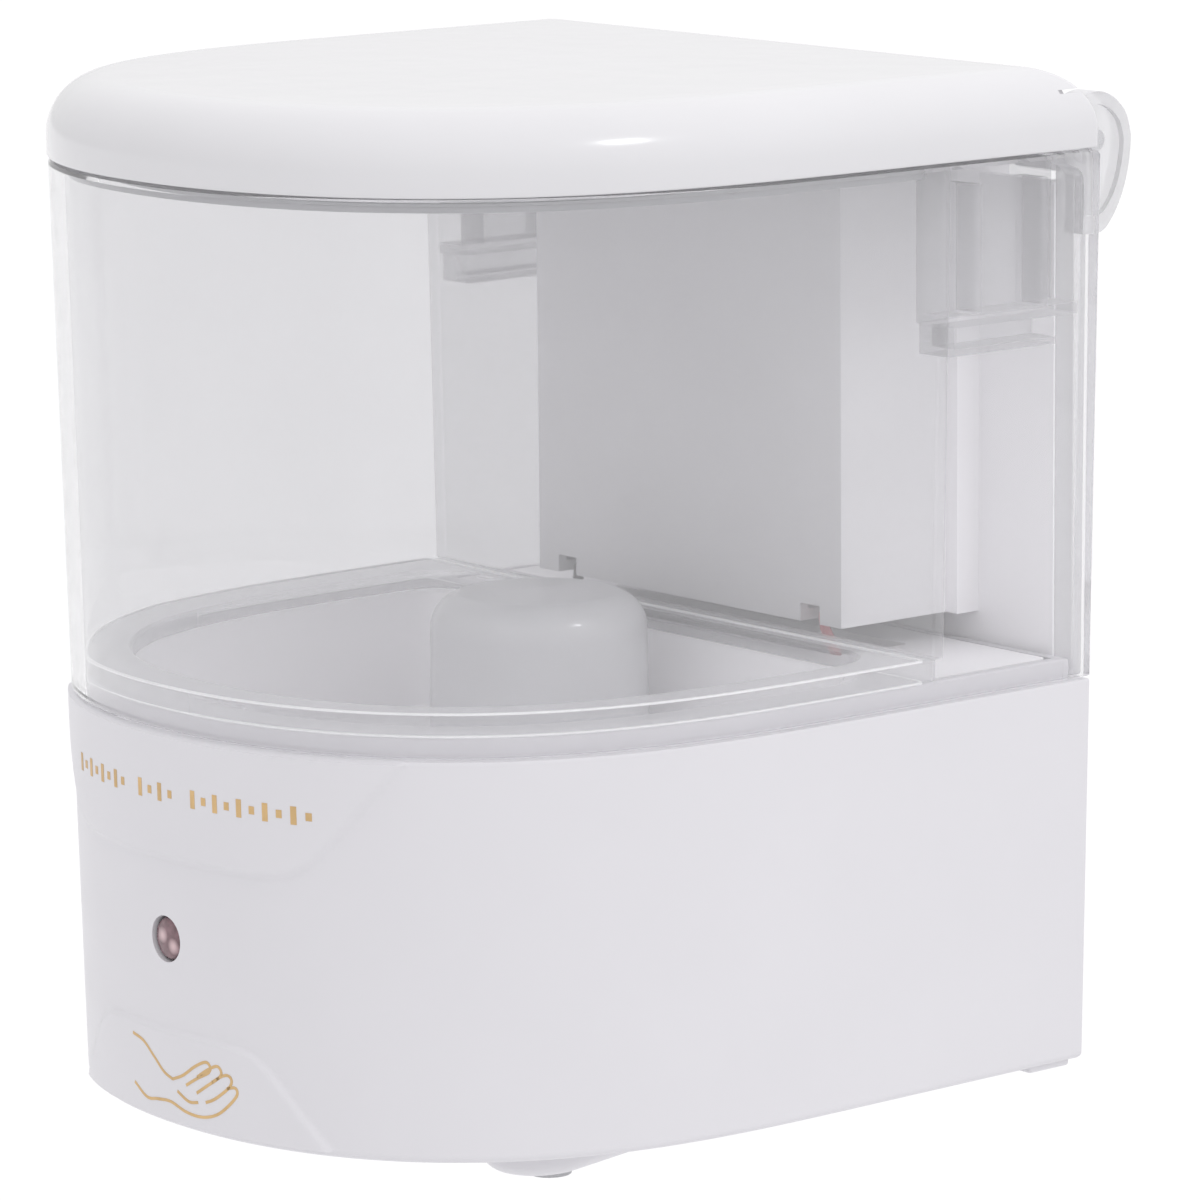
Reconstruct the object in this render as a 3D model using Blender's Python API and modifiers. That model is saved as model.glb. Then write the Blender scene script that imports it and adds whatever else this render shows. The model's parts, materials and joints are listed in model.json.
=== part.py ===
"""Wall mounted automatic soap dispenser: bracket, base with pump, clear tank, hinged lid and battery box."""

import math

import bmesh
import bpy
import numpy as np
from mathutils import Vector

MM = 0.001

# Frame: x is the width, v the distance in front of the back plane, h the height above the base's bottom.
WALL_GAP = 9.5        # from the wall to the body's back plane
MOUNT_H = 31.0        # height of the wall mount, which is the origin

# Outline of the body, seen from above, at the lid's lower edge
WIDTH = 117.5
DEPTH = 120.7
STRAIGHT = 42.4       # depth of the straight part of each side
ROUND_X = 2.133
ROUND_V = 3.043
SIDE_DRAFT = 0.0217   # each side leans out by this much per unit of height
FRONT_DRAFT = 0.0185
H_LID = 130.0         # lid's lower edge
H_JOINT = 55.2        # joint between base and tank
H_TOP = 141.3
HALF_POINTS = 21      # points on each half of an outline
CORNER_POINTS = 4

WALL = 2.4            # base wall
CLEAR = 2.2           # tank wall
GAP = 0.3             # gap left between touching pieces
LID_ROUND = 8.5
LID_OVERHANG = 0.2
LID_WALL = 2.2
LID_CORNER = 1.2      # radius of the lid's rear corners, seen from above
CROWN_IN = 30.0       # the crown is flat further in than this
H_FLANGE = 58.4       # underside of the tank's flange
FLANGE_T = 2.7
FLANGE_IN = 9.0       # inner edge of the flange, inside the outline
TANK_BACK = 26.5      # tank's rear wall, which stands in front of the batteries
WINDOW_X = 51.0       # half width of the opening at the tank's back

HINGE_V = -0.8
HINGE_H = 130.8
EAR_X = (53.0, 57.0)
KNUCKLE_X = (42.4, 48.6)
PIN_R = 1.5
PIN_CLEAR = 0.25      # room round each hinge pin

SENSOR_H = 26.3
SENSOR_R = 2.95

DOME_V = 53.0
DOME_R = 15.6
DOME_TOP = 67.0
SUMP_FLOOR = 41.8

BOX_X = 33.0
BOX_FRONT = 25.8
BOX_H = (61.0, 127.0)
BOX_WALL = 1.6
CELL_R = 7.2
CELL_PITCH = 14.7
CELL_V = 11.5
CELL_H = (67.0, 115.5)
LEAF_X = 5.6          # half width of a contact's leaf

ROTOR = (0.0, 78.0)   # x and v of each upright shaft
IDLER = (16.0, 90.0)
MOTOR = (32.0, 90.0)
MODULE = 0.8
ROTOR_TEETH = 40
IDLER_TEETH = 30
PINION_TEETH = 10
TUBE_R = 2.2
TUBE_H = 18.5
LOOP_R = 17.2
ROLLER_ORBIT = 10.6   # from the rotor's shaft to each roller's centre
NOZZLE_V = 52.0

COLOURS = {
    "white": ((0.80, 0.80, 0.82, 1.0), 0.30, 0.0),
    "lid_white": ((0.86, 0.86, 0.87, 1.0), 0.20, 0.0),
    "clear": ((0.86, 0.87, 0.88, 1.0), 0.08, 0.0),
    "frosted": ((0.78, 0.78, 0.80, 1.0), 0.45, 0.0),
    "silicone": ((0.62, 0.62, 0.64, 1.0), 0.60, 0.0),
    "grey": ((0.45, 0.45, 0.47, 1.0), 0.50, 0.0),
    "lens": ((0.10, 0.06, 0.07, 1.0), 0.10, 0.0),
    "steel": ((0.60, 0.60, 0.62, 1.0), 0.30, 1.0),
    "brass": ((0.75, 0.58, 0.30, 1.0), 0.35, 1.0),
    "board": ((0.05, 0.25, 0.12, 1.0), 0.50, 0.0),
    "black": ((0.03, 0.03, 0.03, 1.0), 0.50, 0.0),
    "red": ((0.65, 0.04, 0.05, 1.0), 0.50, 0.0),
    "cell": ((0.12, 0.13, 0.16, 1.0), 0.35, 0.2),
}


def clear_scene():
    for obj in list(bpy.data.objects):
        bpy.data.objects.remove(obj)
    for kind in (bpy.data.meshes, bpy.data.materials, bpy.data.collections, bpy.data.curves):
        for item in list(kind):
            kind.remove(item)


def make_collections():
    parts = bpy.data.collections.new("soap_dispenser")
    cutters = bpy.data.collections.new("cutters")
    bpy.context.scene.collection.children.link(parts)
    bpy.context.scene.collection.children.link(cutters)
    return parts, cutters


def make_materials():
    made = {}
    for name, (colour, rough, metal) in COLOURS.items():
        mat = bpy.data.materials.new(name)
        mat.use_nodes = True
        shader = mat.node_tree.nodes["Principled BSDF"]
        shader.inputs["Base Color"].default_value = colour
        shader.inputs["Roughness"].default_value = rough
        shader.inputs["Metallic"].default_value = metal
        mat.diffuse_color = colour
        made[name] = mat
    return made


def world(point):
    x, v, h = point
    return Vector((x * MM, -(WALL_GAP + v) * MM, (h - MOUNT_H) * MM))


def add_object(name, points, faces, slot=None, origin=None, smooth=True):
    """A closed mesh from points in millimetres. With no slot it is a helper for a Boolean."""
    at = world(origin) if origin else Vector((0, 0, 0))
    mesh = bpy.data.meshes.new(name)
    mesh.from_pydata([world(p) - at for p in points], [], faces)
    shell = bmesh.new()
    shell.from_mesh(mesh)
    bmesh.ops.recalc_face_normals(shell, faces=shell.faces)
    shell.to_mesh(mesh)
    shell.free()
    obj = bpy.data.objects.new(name, mesh)
    obj.location = at
    finish_object(obj, slot, smooth)
    return obj


def finish_object(obj, slot, smooth=True):
    if slot is None:
        CUTTERS.objects.link(obj)
        obj.hide_render = True
        obj.display_type = "WIRE"
        return
    PARTS.objects.link(obj)
    obj.data.materials.append(MATERIALS[slot])
    if smooth and obj.type == "MESH":
        obj.data.shade_smooth()
        obj.data.set_sharp_from_angle(angle=math.radians(35))


def combine(target, operation, *others):
    for other in others:
        step = target.modifiers.new(f"{operation.lower()} {other.name}", "BOOLEAN")
        step.operation = operation
        step.solver = "EXACT"
        step.object = other


def half_outline(h, inset, back, corner):
    """The right half of the body's outline at height h, from its back corner to its front centre."""
    below = H_LID - h
    half = WIDTH / 2 - SIDE_DRAFT * below
    depth = DEPTH - FRONT_DRAFT * below
    t = np.linspace(0.0, math.pi / 2, 400)
    x = half * np.cos(t) ** (2 / ROUND_X)
    v = STRAIGHT + (depth - STRAIGHT) * np.sin(t) ** (2 / ROUND_V)
    x = np.concatenate([np.full(80, half), x])
    v = np.concatenate([np.linspace(-10.0, STRAIGHT, 81)[:-1], v])
    dx, dv = np.gradient(x), np.gradient(v)
    size = np.hypot(dx, dv)
    x, v = x - inset * dv / size, v + inset * dx / size
    x[-1] = 0.0
    keep = (v >= back + corner) & (x >= 0.0)
    x, v = x[keep], v[keep]
    start = x[0]
    x = np.concatenate([[start], x])
    v = np.concatenate([[back + corner], v])
    run = np.concatenate([[0.0], np.cumsum(np.hypot(np.diff(x), np.diff(v)))])
    # The straight side needs few points, so most of them go where the outline curves.
    share = np.linspace(0.0, 1.0, HALF_POINTS) ** 0.8
    x, v = np.interp(share * run[-1], run, x), np.interp(share * run[-1], run, v)
    x[-1] = 0.0
    if corner:
        turn = np.linspace(-math.pi / 2, 0.0, CORNER_POINTS + 1)[:-1]
        x = np.concatenate([start - corner + corner * np.cos(turn), x])
        v = np.concatenate([back + corner + corner * np.sin(turn), v])
    return x, v


def outline(h, inset=0.0, back=0.0, corner=0.0, at=None):
    """A closed ring of points on the body's outline at height h, or drawn at another height."""
    x, v = half_outline(h, inset, back, corner)
    z = h if at is None else at
    right = [(float(a), float(b), z) for a, b in zip(x, v)]
    left = [(-a, b, z) for a, b, _ in reversed(right[:-1])]
    return right + left


def loft_faces(rings, closed):
    n = len(rings[0])
    faces = []
    pairs = list(zip(range(len(rings)), range(1, len(rings))))
    if closed:
        pairs.append((len(rings) - 1, 0))
    for a, b in pairs:
        for i in range(n):
            j = (i + 1) % n
            faces.append((a * n + i, a * n + j, b * n + j, b * n + i))
    if not closed:
        faces.append(tuple(range(n)))
        faces.append(tuple((len(rings) - 1) * n + i for i in range(n)))
    return faces


def loft(name, rings, slot=None, closed=False, origin=None):
    points = [p for ring in rings for p in ring]
    return add_object(name, points, loft_faces(rings, closed), slot, origin)


def block(name, x, v, h, slot=None, origin=None, bevel=0.0):
    ring = [(x[0], v[0]), (x[1], v[0]), (x[1], v[1]), (x[0], v[1])]
    rings = [[(a, b, z) for a, b in ring] for z in h]
    obj = loft(name, rings, slot, origin=origin)
    if bevel:
        soften = obj.modifiers.new("bevel", "BEVEL")
        soften.width = bevel * MM
        soften.segments = 2
    return obj


def circle(r, count, centre, h, phase=0.0):
    steps = [phase + 2 * math.pi * i / count for i in range(count)]
    return [(centre[0] + r * math.cos(a), centre[1] + r * math.sin(a), h) for a in steps]


def rod(name, r, h, centre, slot=None, count=24, origin=None):
    """An upright cylinder from h[0] to h[1]."""
    return loft(name, [circle(r, count, centre, z) for z in h], slot, origin=origin)


def cross_rod(name, r, x, centre, slot=None, count=20, origin=None):
    """A cylinder along x, centred on (v, h)."""
    rings = [[(a, p[0], p[1]) for p in circle(r, count, centre, 0.0)] for a in x]
    return loft(name, rings, slot, origin=origin)


def deep_rod(name, r, v, centre, slot=None, count=20, origin=None):
    """A cylinder along v, centred on (x, h)."""
    rings = [[(p[0], a, p[1]) for p in circle(r, count, centre, 0.0)] for a in v]
    return loft(name, rings, slot, origin=origin)


def plate(name, profile, x, slot=None, origin=None):
    """A side profile of (v, h) points, extruded along x."""
    return loft(name, [[(a, v, h) for v, h in profile] for a in x], slot, origin=origin)


def lathe(name, profile, centre, slot, steps=32):
    """A profile of (radius, height) points, turned about an upright axis with a Screw modifier.
    It is closed on itself unless it starts and ends on the axis."""
    mesh = bpy.data.meshes.new(name)
    points = [(r * MM, 0.0, h * MM) for r, h in profile]
    edges = [(i, i + 1) for i in range(len(points) - 1)]
    if all(r > 0 for r, _ in profile):
        edges.append((len(points) - 1, 0))
    mesh.from_pydata(points, edges, [])
    obj = bpy.data.objects.new(name, mesh)
    obj.location = world((centre[0], centre[1], 0.0))
    turn = obj.modifiers.new("turn", "SCREW")
    turn.steps = steps
    turn.render_steps = steps
    turn.use_merge_vertices = True
    turn.merge_threshold = 0.00001
    turn.use_smooth_shade = True
    finish_object(obj, slot, smooth=False)
    return obj


def gear_outline(teeth, phase):
    """Teeth with straight flanks, thin enough to run clear of the meshing gear."""
    pitch = MODULE * teeth / 2
    tip, root = pitch + 0.72 * MODULE, pitch - 1.05 * MODULE
    step = 2 * math.pi / teeth
    points = []
    for i in range(teeth):
        middle = phase + i * step
        for r, turn in ((root, -0.25), (tip, -0.12), (tip, 0.12), (root, 0.25)):
            a = middle + turn * step
            points.append((r * math.cos(a), r * math.sin(a)))
    return points


def gear(name, teeth, centre, h, phase, slot=None, origin=None):
    points = gear_outline(teeth, phase)
    rings = [[(centre[0] + x, centre[1] + v, z) for x, v in points] for z in h]
    return loft(name, rings, slot, origin=origin)


def hose(name, path, radius, slot, sides=3):
    """A smooth rod through the path points, made solid from a bevelled curve."""
    curve = bpy.data.curves.new(name, "CURVE")
    curve.dimensions = "3D"
    curve.bevel_depth = radius * MM
    curve.bevel_resolution = sides
    curve.resolution_u = 4
    curve.use_fill_caps = True
    line = curve.splines.new("BEZIER")
    line.bezier_points.add(len(path) - 1)
    for knot, point in zip(line.bezier_points, path):
        knot.co = world(point)
        knot.handle_left_type = "AUTO"
        knot.handle_right_type = "AUTO"
    guide = bpy.data.objects.new(name + "_guide", curve)
    finish_object(guide, None)
    mesh = bpy.data.meshes.new_from_object(guide)
    shell = bmesh.new()
    shell.from_mesh(mesh)
    bmesh.ops.remove_doubles(shell, verts=shell.verts, dist=0.00001)
    bmesh.ops.recalc_face_normals(shell, faces=shell.faces)
    shell.to_mesh(mesh)
    shell.free()
    mesh.materials.clear()
    obj = bpy.data.objects.new(name, mesh)
    finish_object(obj, slot)
    return obj


def mirrored(side, a, b):
    """The span from a to b, or its mirror image where side is -1."""
    return tuple(sorted((side * a, side * b)))


# ---------------------------------------------------------------- wall bracket

HOOKS = [(x, h) for x in (-40.0, 40.0) for h in (14.0, 42.0)]
HOOK_LIFT = 5.0
SCREW_X = 22.0
SCREW_H = MOUNT_H + 8.0


def wall_bracket():
    corners = []
    for cx, cy, start in ((40, 52, 0), (-40, 52, 90), (-40, 10, 180), (40, 10, 270)):
        for i in range(5):
            a = math.radians(start + 22.5 * i)
            corners.append((cx + 4 * math.cos(a), cy + 4 * math.sin(a)))
    rings = [[(x, v, h) for x, h in corners] for v in (-WALL_GAP, -6.7)]
    body = loft("wall_bracket", rings, "white")
    for i, (x, h) in enumerate(HOOKS):
        boss = deep_rod(f"bracket_boss_{i}", 3.8, (-7.0, -0.4), (x, h + 2.0), count=16)
        neck = block(f"bracket_neck_{i}", (x - 3, x + 3), (-1.0, 3.4), (h, h + 4.0))
        lip = block(f"bracket_lip_{i}", (x - 3, x + 3), (2.8, 4.6), (h, h + 8.8))
        combine(body, "UNION", boss, neck, lip)
    for i, x in enumerate((-SCREW_X, SCREW_X)):
        hole = deep_rod(f"bracket_hole_{i}", 2.3, (-12.0, -4.0), (x, SCREW_H), count=16)
        combine(body, "DIFFERENCE", hole)


def wall_screw(name, x):
    """A screw lying along v: its shank, its domed head and a crossed drive."""
    steps = [(1.9, -9.2), (1.9, -6.4), (4.0, -6.3), (3.4, -5.2), (1.6, -4.6)]
    rings = [[(p[0], v, p[1]) for p in circle(r, 16, (x, SCREW_H), 0.0)] for r, v in steps]
    body = loft(name, rings, "steel")
    for i, (a, b) in enumerate(((2.2, 0.45), (0.45, 2.2))):
        slot = block(f"{name}_drive_{i}", (x - a, x + a), (-5.4, -4.0), (SCREW_H - b, SCREW_H + b))
        combine(body, "DIFFERENCE", slot)


# ---------------------------------------------------------------- base

POSTS = [(50.5, 14.0), (-50.5, 14.0), (48.8, 70.0), (-48.8, 70.0)]


def front_patch(name, rows, out, into):
    """A raised panel on the front: rows of (height, half width), standing out by `out`."""
    count = 9
    outer, inner = [], []
    for h, half in rows:
        for offset, store in ((-out, outer), (into, inner)):
            x, v = half_outline(h, offset, 0.0, 0.0)
            xs = np.linspace(-half, half, count)
            vs = np.interp(np.abs(xs), x[::-1], v[::-1])
            store.append([(float(a), float(b), h) for a, b in zip(xs, vs)])
    rings = [o + i[::-1] for o, i in zip(outer, inner)]
    return loft(name, rings)


def base_housing():
    rings = [
        outline(0.0, 0.9), outline(0.9, 0.0), outline(H_JOINT, 0.0),
        outline(H_JOINT, 2.5, 2.5), outline(58.1, 2.6, 2.6), outline(58.1, 4.2, 4.2),
        outline(52.0, 4.2, 4.2), outline(50.5, WALL, WALL), outline(0.0, WALL, WALL),
    ]
    body = loft("base_housing", rings, "white", closed=True)
    upper = front_patch("panel_upper", [(37.7, 22.0), (39.6, 26.5), (54.9, 38.0)], 0.55, 1.2)
    lower = front_patch("panel_lower", [(0.9, 28.0), (12.2, 18.4), (13.6, 16.0)], 0.55, 1.2)
    combine(body, "UNION", upper, lower)
    for i, (x, v) in enumerate(POSTS):
        combine(body, "UNION", rod(f"post_{i}", 4.0, (3.7, 22.0), (x, v), count=16))
    for side in (-1, 1):
        combine(body, "UNION", block("foot", mirrored(side, 49.5, 54.8), (1.2, 9.0), (-1.0, 1.0), bevel=0.4))
    for i, (x, v) in enumerate(POSTS):
        combine(body, "DIFFERENCE", rod(f"post_hole_{i}", 1.6, (2.0, 16.0), (x, v), count=12))
    combine(body, "DIFFERENCE", deep_rod("sensor_hole", SENSOR_R + GAP, (105.0, 125.0), (0.0, SENSOR_H)))
    for x, h in HOOKS:
        slot = block("hook_slot", (x - 3.6, x + 3.6), (-2.0, 3.6), (h - HOOK_LIFT - 0.5, h + 4.3))
        combine(body, "DIFFERENCE", slot)


def stadium(h, x, v, count=8, slope=0.0, taper=0.0):
    """A long ring with round ends, running along v, whose height may rise towards the back."""
    r = x - taper
    front, rear = v[1] - x, v[0] + x
    points = []
    for i in range(count + 1):
        a = math.pi * i / count
        points.append((r * math.cos(a), front + r * math.sin(a)))
    for i in range(count + 1):
        a = math.pi + math.pi * i / count
        points.append((r * math.cos(a), rear + r * math.sin(a)))
    return [(a, b, h + slope * (v[1] - b)) for a, b in points]


SHROUD_X = 9.0
SHROUD_V = (22.0, 62.0)
SHROUD_SLOPE = 0.085


def base_floor():
    rings = [outline(1.4, WALL + GAP, WALL + GAP), outline(3.4, WALL + GAP, WALL + GAP)]
    body = loft("base_floor", rings, "white")
    wide = (SHROUD_V[0] - GAP, SHROUD_V[1] + GAP)
    slot = [stadium(h, SHROUD_X + GAP, wide) for h in (0.0, 5.0)]
    combine(body, "DIFFERENCE", loft("shroud_slot", slot))
    for i, (x, v) in enumerate(POSTS):
        combine(body, "DIFFERENCE", rod(f"floor_hole_{i}", 1.6, (0.0, 5.0), (x, v), count=12))
    combine(body, "DIFFERENCE", block("switch_slot", (-33.5, -24.0), (15.5, 20.5), (0.0, 5.0)))


def case_screw(name, x, v):
    rings = [circle(2.4, 16, (x, v), 0.3), circle(2.8, 16, (x, v), 0.7), circle(2.8, 16, (x, v), 1.1),
             circle(1.3, 16, (x, v), 1.1), circle(1.3, 16, (x, v), 13.0)]
    body = loft(name, rings, "steel")
    drive = block(name + "_slot", (x - 2.0, x + 2.0), (v - 0.4, v + 0.4), (0.0, 0.75))
    combine(body, "DIFFERENCE", drive)


def nozzle_shroud():
    outer = [
        stadium(4.6, SHROUD_X, SHROUD_V), stadium(-6.0, SHROUD_X, SHROUD_V),
        stadium(-15.0, SHROUD_X, SHROUD_V, slope=SHROUD_SLOPE),
        stadium(-16.8, SHROUD_X, SHROUD_V, slope=SHROUD_SLOPE, taper=0.7),
        stadium(-17.6, SHROUD_X, SHROUD_V, slope=SHROUD_SLOPE, taper=2.4),
    ]
    body = loft("nozzle_shroud", outer, "white")
    inner = [stadium(6.0, SHROUD_X, SHROUD_V, taper=1.6),
             stadium(-13.6, SHROUD_X, SHROUD_V, slope=SHROUD_SLOPE, taper=1.6)]
    combine(body, "DIFFERENCE", loft("shroud_hollow", inner))
    combine(body, "DIFFERENCE", rod("nozzle_hole", 4.2, (-22.0, -8.0), (0.0, NOZZLE_V)))


def nozzle_tip():
    profile = [(3.8, -3.0), (3.8, -10.2), (5.2, -10.4), (5.2, -12.0), (3.9, -12.4), (3.2, -18.8),
               (1.3, -18.8), (1.3, -13.0), (2.5, -11.0), (2.5, -3.0)]
    lathe("nozzle_tip", profile, (0.0, NOZZLE_V), "silicone", steps=20)


def sensor_parts():
    face = float(half_outline(SENSOR_H, 0.0, 0.0, 0.0)[1][-1])
    window = deep_rod("sensor_window", SENSOR_R, (face - 2.6, face - 0.3), (0.0, SENSOR_H), "lens")
    window.modifiers.new("bevel", "BEVEL").width = 0.25 * MM
    for name, x, slot in (("ir_emitter", -1.45, "clear"), ("ir_receiver", 1.45, "black")):
        deep_rod(name, 1.2, (113.0, face - 3.0), (x, SENSOR_H), slot, count=12)
    board = block("sensor_board", (-13.0, 13.0), (111.2, 112.7), (13.0, 39.0), "board")
    combine(board, "DIFFERENCE", deep_rod("board_hole", 1.2, (110.0, 114.0), (9.5, 35.5), count=10))


def sump():
    c = 8.0
    rings = [
        outline(SUMP_FLOOR, 14.0, 35.8, c), outline(58.1, 7.6, 31.0, c),
        outline(58.1, 4.6, 4.6, 1.5), outline(56.3, 4.6, 4.6, 1.5),
        outline(56.3, 6.0, 29.2, c), outline(SUMP_FLOOR - 1.8, 12.4, 34.0, c),
    ]
    body = loft("sump", rings, "white")
    combine(body, "UNION", rod("spigot", 3.0, (34.0, 41.0), (-8.0, 46.0), count=16))
    combine(body, "DIFFERENCE", rod("spigot_bore", 1.6, (33.0, 43.0), (-8.0, 46.0), count=12))
    for i, x in enumerate((-28.0, 28.0)):
        hole = block(f"wire_hole_{i}", (x - 2.5, x + 2.5), (19.0, 25.0), (55.0, 60.0))
        combine(body, "DIFFERENCE", hole)


def arc_points(centre, r, start, stop, count):
    """Points of (radius, height) on an arc, angles in degrees from the horizontal."""
    steps = [math.radians(start + (stop - start) * i / count) for i in range(count + 1)]
    return [(centre[0] + r * math.cos(a), centre[1] + r * math.sin(a)) for a in steps]


def pump_cap():
    wall, bend = 1.4, 5.0
    shoulder = (DOME_R - 0.2 - bend, DOME_TOP - 0.5 - bend)
    profile = [(0.0, DOME_TOP)] + arc_points(shoulder, bend, 90, 0, 4)
    profile += [(DOME_R, SUMP_FLOOR + GAP), (DOME_R - wall, SUMP_FLOOR + GAP)]
    profile += arc_points(shoulder, bend - wall, 0, 90, 3) + [(0.0, DOME_TOP - wall)]
    lathe("pump_cap", profile, (0.0, DOME_V), "frosted", steps=36)


# ---------------------------------------------------------------- pump and drive

def pump_housing():
    cup = [circle(22.0, 40, ROTOR, 9.5), circle(22.0, 40, ROTOR, 26.0), circle(19.9, 40, ROTOR, 26.0),
           circle(19.9, 40, ROTOR, 11.0)]
    body = loft("pump_housing", cup, "grey")
    lug = rod("idler_lug", 3.0, (21.4, 26.0), IDLER, count=12)
    axle = rod("rotor_axle", 1.5, (10.0, 33.0), ROTOR, count=12)
    pin = rod("idler_axle", 1.0, (22.0, 35.6), IDLER, count=10)
    feet = block("housing_foot", (-5.0, 5.0), (ROTOR[1] - 8, ROTOR[1] + 8), (3.7, 10.0))
    combine(body, "UNION", lug, axle, pin, feet)
    for i, x in enumerate(((-20.6, -13.6), (13.6, 20.6))):
        combine(body, "DIFFERENCE", block(f"tube_slot_{i}", x, (54.0, ROTOR[1] - 1.0), (15.2, 27.0)))


def ring_rod(name, outer, inner, h, centre, slot, count=20, origin=None):
    rings = [circle(outer, count, centre, h[0]), circle(outer, count, centre, h[1]),
             circle(inner, count, centre, h[1]), circle(inner, count, centre, h[0])]
    return loft(name, rings, slot, closed=True, origin=origin)


def gear_train():
    towards = math.atan2(IDLER[1] - ROTOR[1], IDLER[0] - ROTOR[0])
    onward = math.atan2(MOTOR[1] - IDLER[1], MOTOR[0] - IDLER[0])
    rotor_at = (ROTOR[0], ROTOR[1], 0.0)
    rotor = gear("pump_rotor", ROTOR_TEETH, ROTOR, (27.0, 30.0), towards, "grey", rotor_at)
    combine(rotor, "UNION", rod("rotor_hub", 5.0, (13.0, 30.6), ROTOR, count=20))
    for i, (x, v, _) in enumerate(circle(ROLLER_ORBIT, 3, ROTOR, 0.0, phase=math.pi / 2)):
        combine(rotor, "UNION", rod(f"roller_pin_{i}", 1.2, (12.6, 28.0), (x, v), count=10))
        ring_rod(f"roller_{i + 1}", 3.6, 1.5, (13.6, 25.0), (x, v), "white", 16, rotor_at)
    combine(rotor, "DIFFERENCE", rod("rotor_bore", 1.75, (10.0, 33.0), ROTOR, count=12))
    step = 2 * math.pi / PINION_TEETH
    idler_at = (IDLER[0], IDLER[1], 0.0)
    big = gear("idler_gear", IDLER_TEETH, IDLER, (31.4, 34.2), onward, "silicone", idler_at)
    back = math.pi + step / 2
    combine(big, "UNION", gear("idler_small", PINION_TEETH, IDLER, (26.6, 31.8), towards + back))
    combine(big, "DIFFERENCE", rod("idler_bore", 1.25, (20.0, 40.0), IDLER, count=10))
    motor_at = (MOTOR[0], MOTOR[1], 0.0)
    pinion = gear("motor_pinion", PINION_TEETH, MOTOR, (31.0, 34.6), onward + back, "brass", motor_at)
    combine(pinion, "UNION", rod("motor_shaft", 1.0, (26.8, 32.0), MOTOR, count=12))


def motor():
    rings = [circle(9.0, 28, MOTOR, 3.7), circle(10.0, 28, MOTOR, 4.5), circle(10.0, 28, MOTOR, 23.6),
             circle(9.0, 28, MOTOR, 24.4), circle(3.0, 28, MOTOR, 24.4), circle(3.0, 28, MOTOR, 26.4)]
    loft("motor", rings, "steel")


def pump_tube():
    x, v = ROTOR
    loop = circle(LOOP_R, 16, ROTOR, TUBE_H)
    front = [loop[(8 - i) % 16] for i in range(9)]
    path = [(-8.0, 46.0, 33.6), (-8.3, 46.2, 28.0), (-13.5, 50.5, 20.0), (-LOOP_R, 60.0, TUBE_H)]
    path += front
    path += [(LOOP_R, 62.0, TUBE_H), (13.0, 54.6, 15.0), (3.0, 52.2, 8.6)]
    path += [(0.0, NOZZLE_V, 0.0), (0.0, NOZZLE_V, -9.0)]
    hose("pump_tube", path, TUBE_R, "silicone", sides=1)


def switch():
    block("switch_body", (-34.0, -23.0), (14.0, 22.0), (5.0, 9.4), "black")
    at = (-30.6, 18.0, 3.0)
    knob = block("switch_knob", (-32.6, -28.6), (16.2, 19.8), (0.4, 4.6), "black", origin=at)
    for i in range(3):
        x = -31.9 + 1.3 * i
        groove = block(f"knob_rib_{i}", (x - 0.3, x + 0.3), (15.0, 21.0), (0.0, 0.8))
        combine(knob, "DIFFERENCE", groove)


# ---------------------------------------------------------------- tank

POCKET_X = (49.0, 57.3)
POCKET_V = 2.4        # clear of the battery box's back plate
POCKET_H = 107.0

EAR_PROFILE = [
    (2.2, 118.0), (-1.7, 117.9), (-4.0, 119.8), (-5.9, 123.0), (-7.0, 126.4), (-7.5, 129.7), (-7.4, 131.8),
    (-6.4, 134.4), (-4.2, 136.5), (-1.4, 137.5), (1.5, 137.0), (3.9, 135.4), (5.4, 133.2), (5.85, 130.8),
    (5.2, 128.2), (2.2, 126.0),
]


def corner_pocket(side):
    """The open pocket at the top of each rear corner: its inner wall, its floor and two upright ribs."""
    inner, outer = POCKET_X
    low = POCKET_H
    rib_x = mirrored(side, inner + 1.0, outer)
    return (
        block("pocket_wall", mirrored(side, inner, inner + 1.6), (POCKET_V, 27.5), (low + 0.2, 128.2)),
        block("pocket_floor", mirrored(side, inner + 0.8, outer - 0.1), (POCKET_V, 27.0), (low, low + 1.6)),
        block("pocket_rib", rib_x, (8.0, 9.4), (low + 1.0, 126.4)),
        block("pocket_rib_front", rib_x, (20.4, 21.8), (low + 1.0, 126.4)),
    )


def tank():
    rings = [outline(H_JOINT + GAP, 0.0), outline(129.7, 0.0), outline(129.7, CLEAR, CLEAR),
             outline(H_JOINT + GAP, CLEAR, CLEAR)]
    body = loft("tank", rings, "clear", closed=True)
    window = block("rear_window", (-WINDOW_X, WINDOW_X), (-2.0, 4.0), (50.0, 140.0))
    combine(body, "DIFFERENCE", window)
    low, high = H_FLANGE, H_FLANGE + FLANGE_T
    flange = loft("tank_flange", [
        outline(low, 1.2, 27.0, 2.0, at=low), outline(low, 1.2, 27.0, 2.0, at=high),
        outline(low, FLANGE_IN, 32.0, 8.0, at=high), outline(low, FLANGE_IN, 32.0, 8.0, at=low),
    ], closed=True)
    # The rear wall reaches into both side walls, which lean outwards.
    near, far = TANK_BACK, TANK_BACK + 2.0
    rear = []
    for half, h in ((56.0, low), (57.4, 129.3)):
        rear.append([(-half, near, h), (half, near, h), (half, far, h), (-half, far, h)])
    combine(body, "UNION", flange, loft("tank_rear_wall", rear))
    for side in (-1, 1):
        combine(body, "UNION", *corner_pocket(side), plate("ear", EAR_PROFILE, mirrored(side, *EAR_X)))
    holes = cross_rod("ear_holes", PIN_R + PIN_CLEAR, (-60.0, 60.0), (HINGE_V, HINGE_H), count=16)
    combine(body, "DIFFERENCE", holes)


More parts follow.
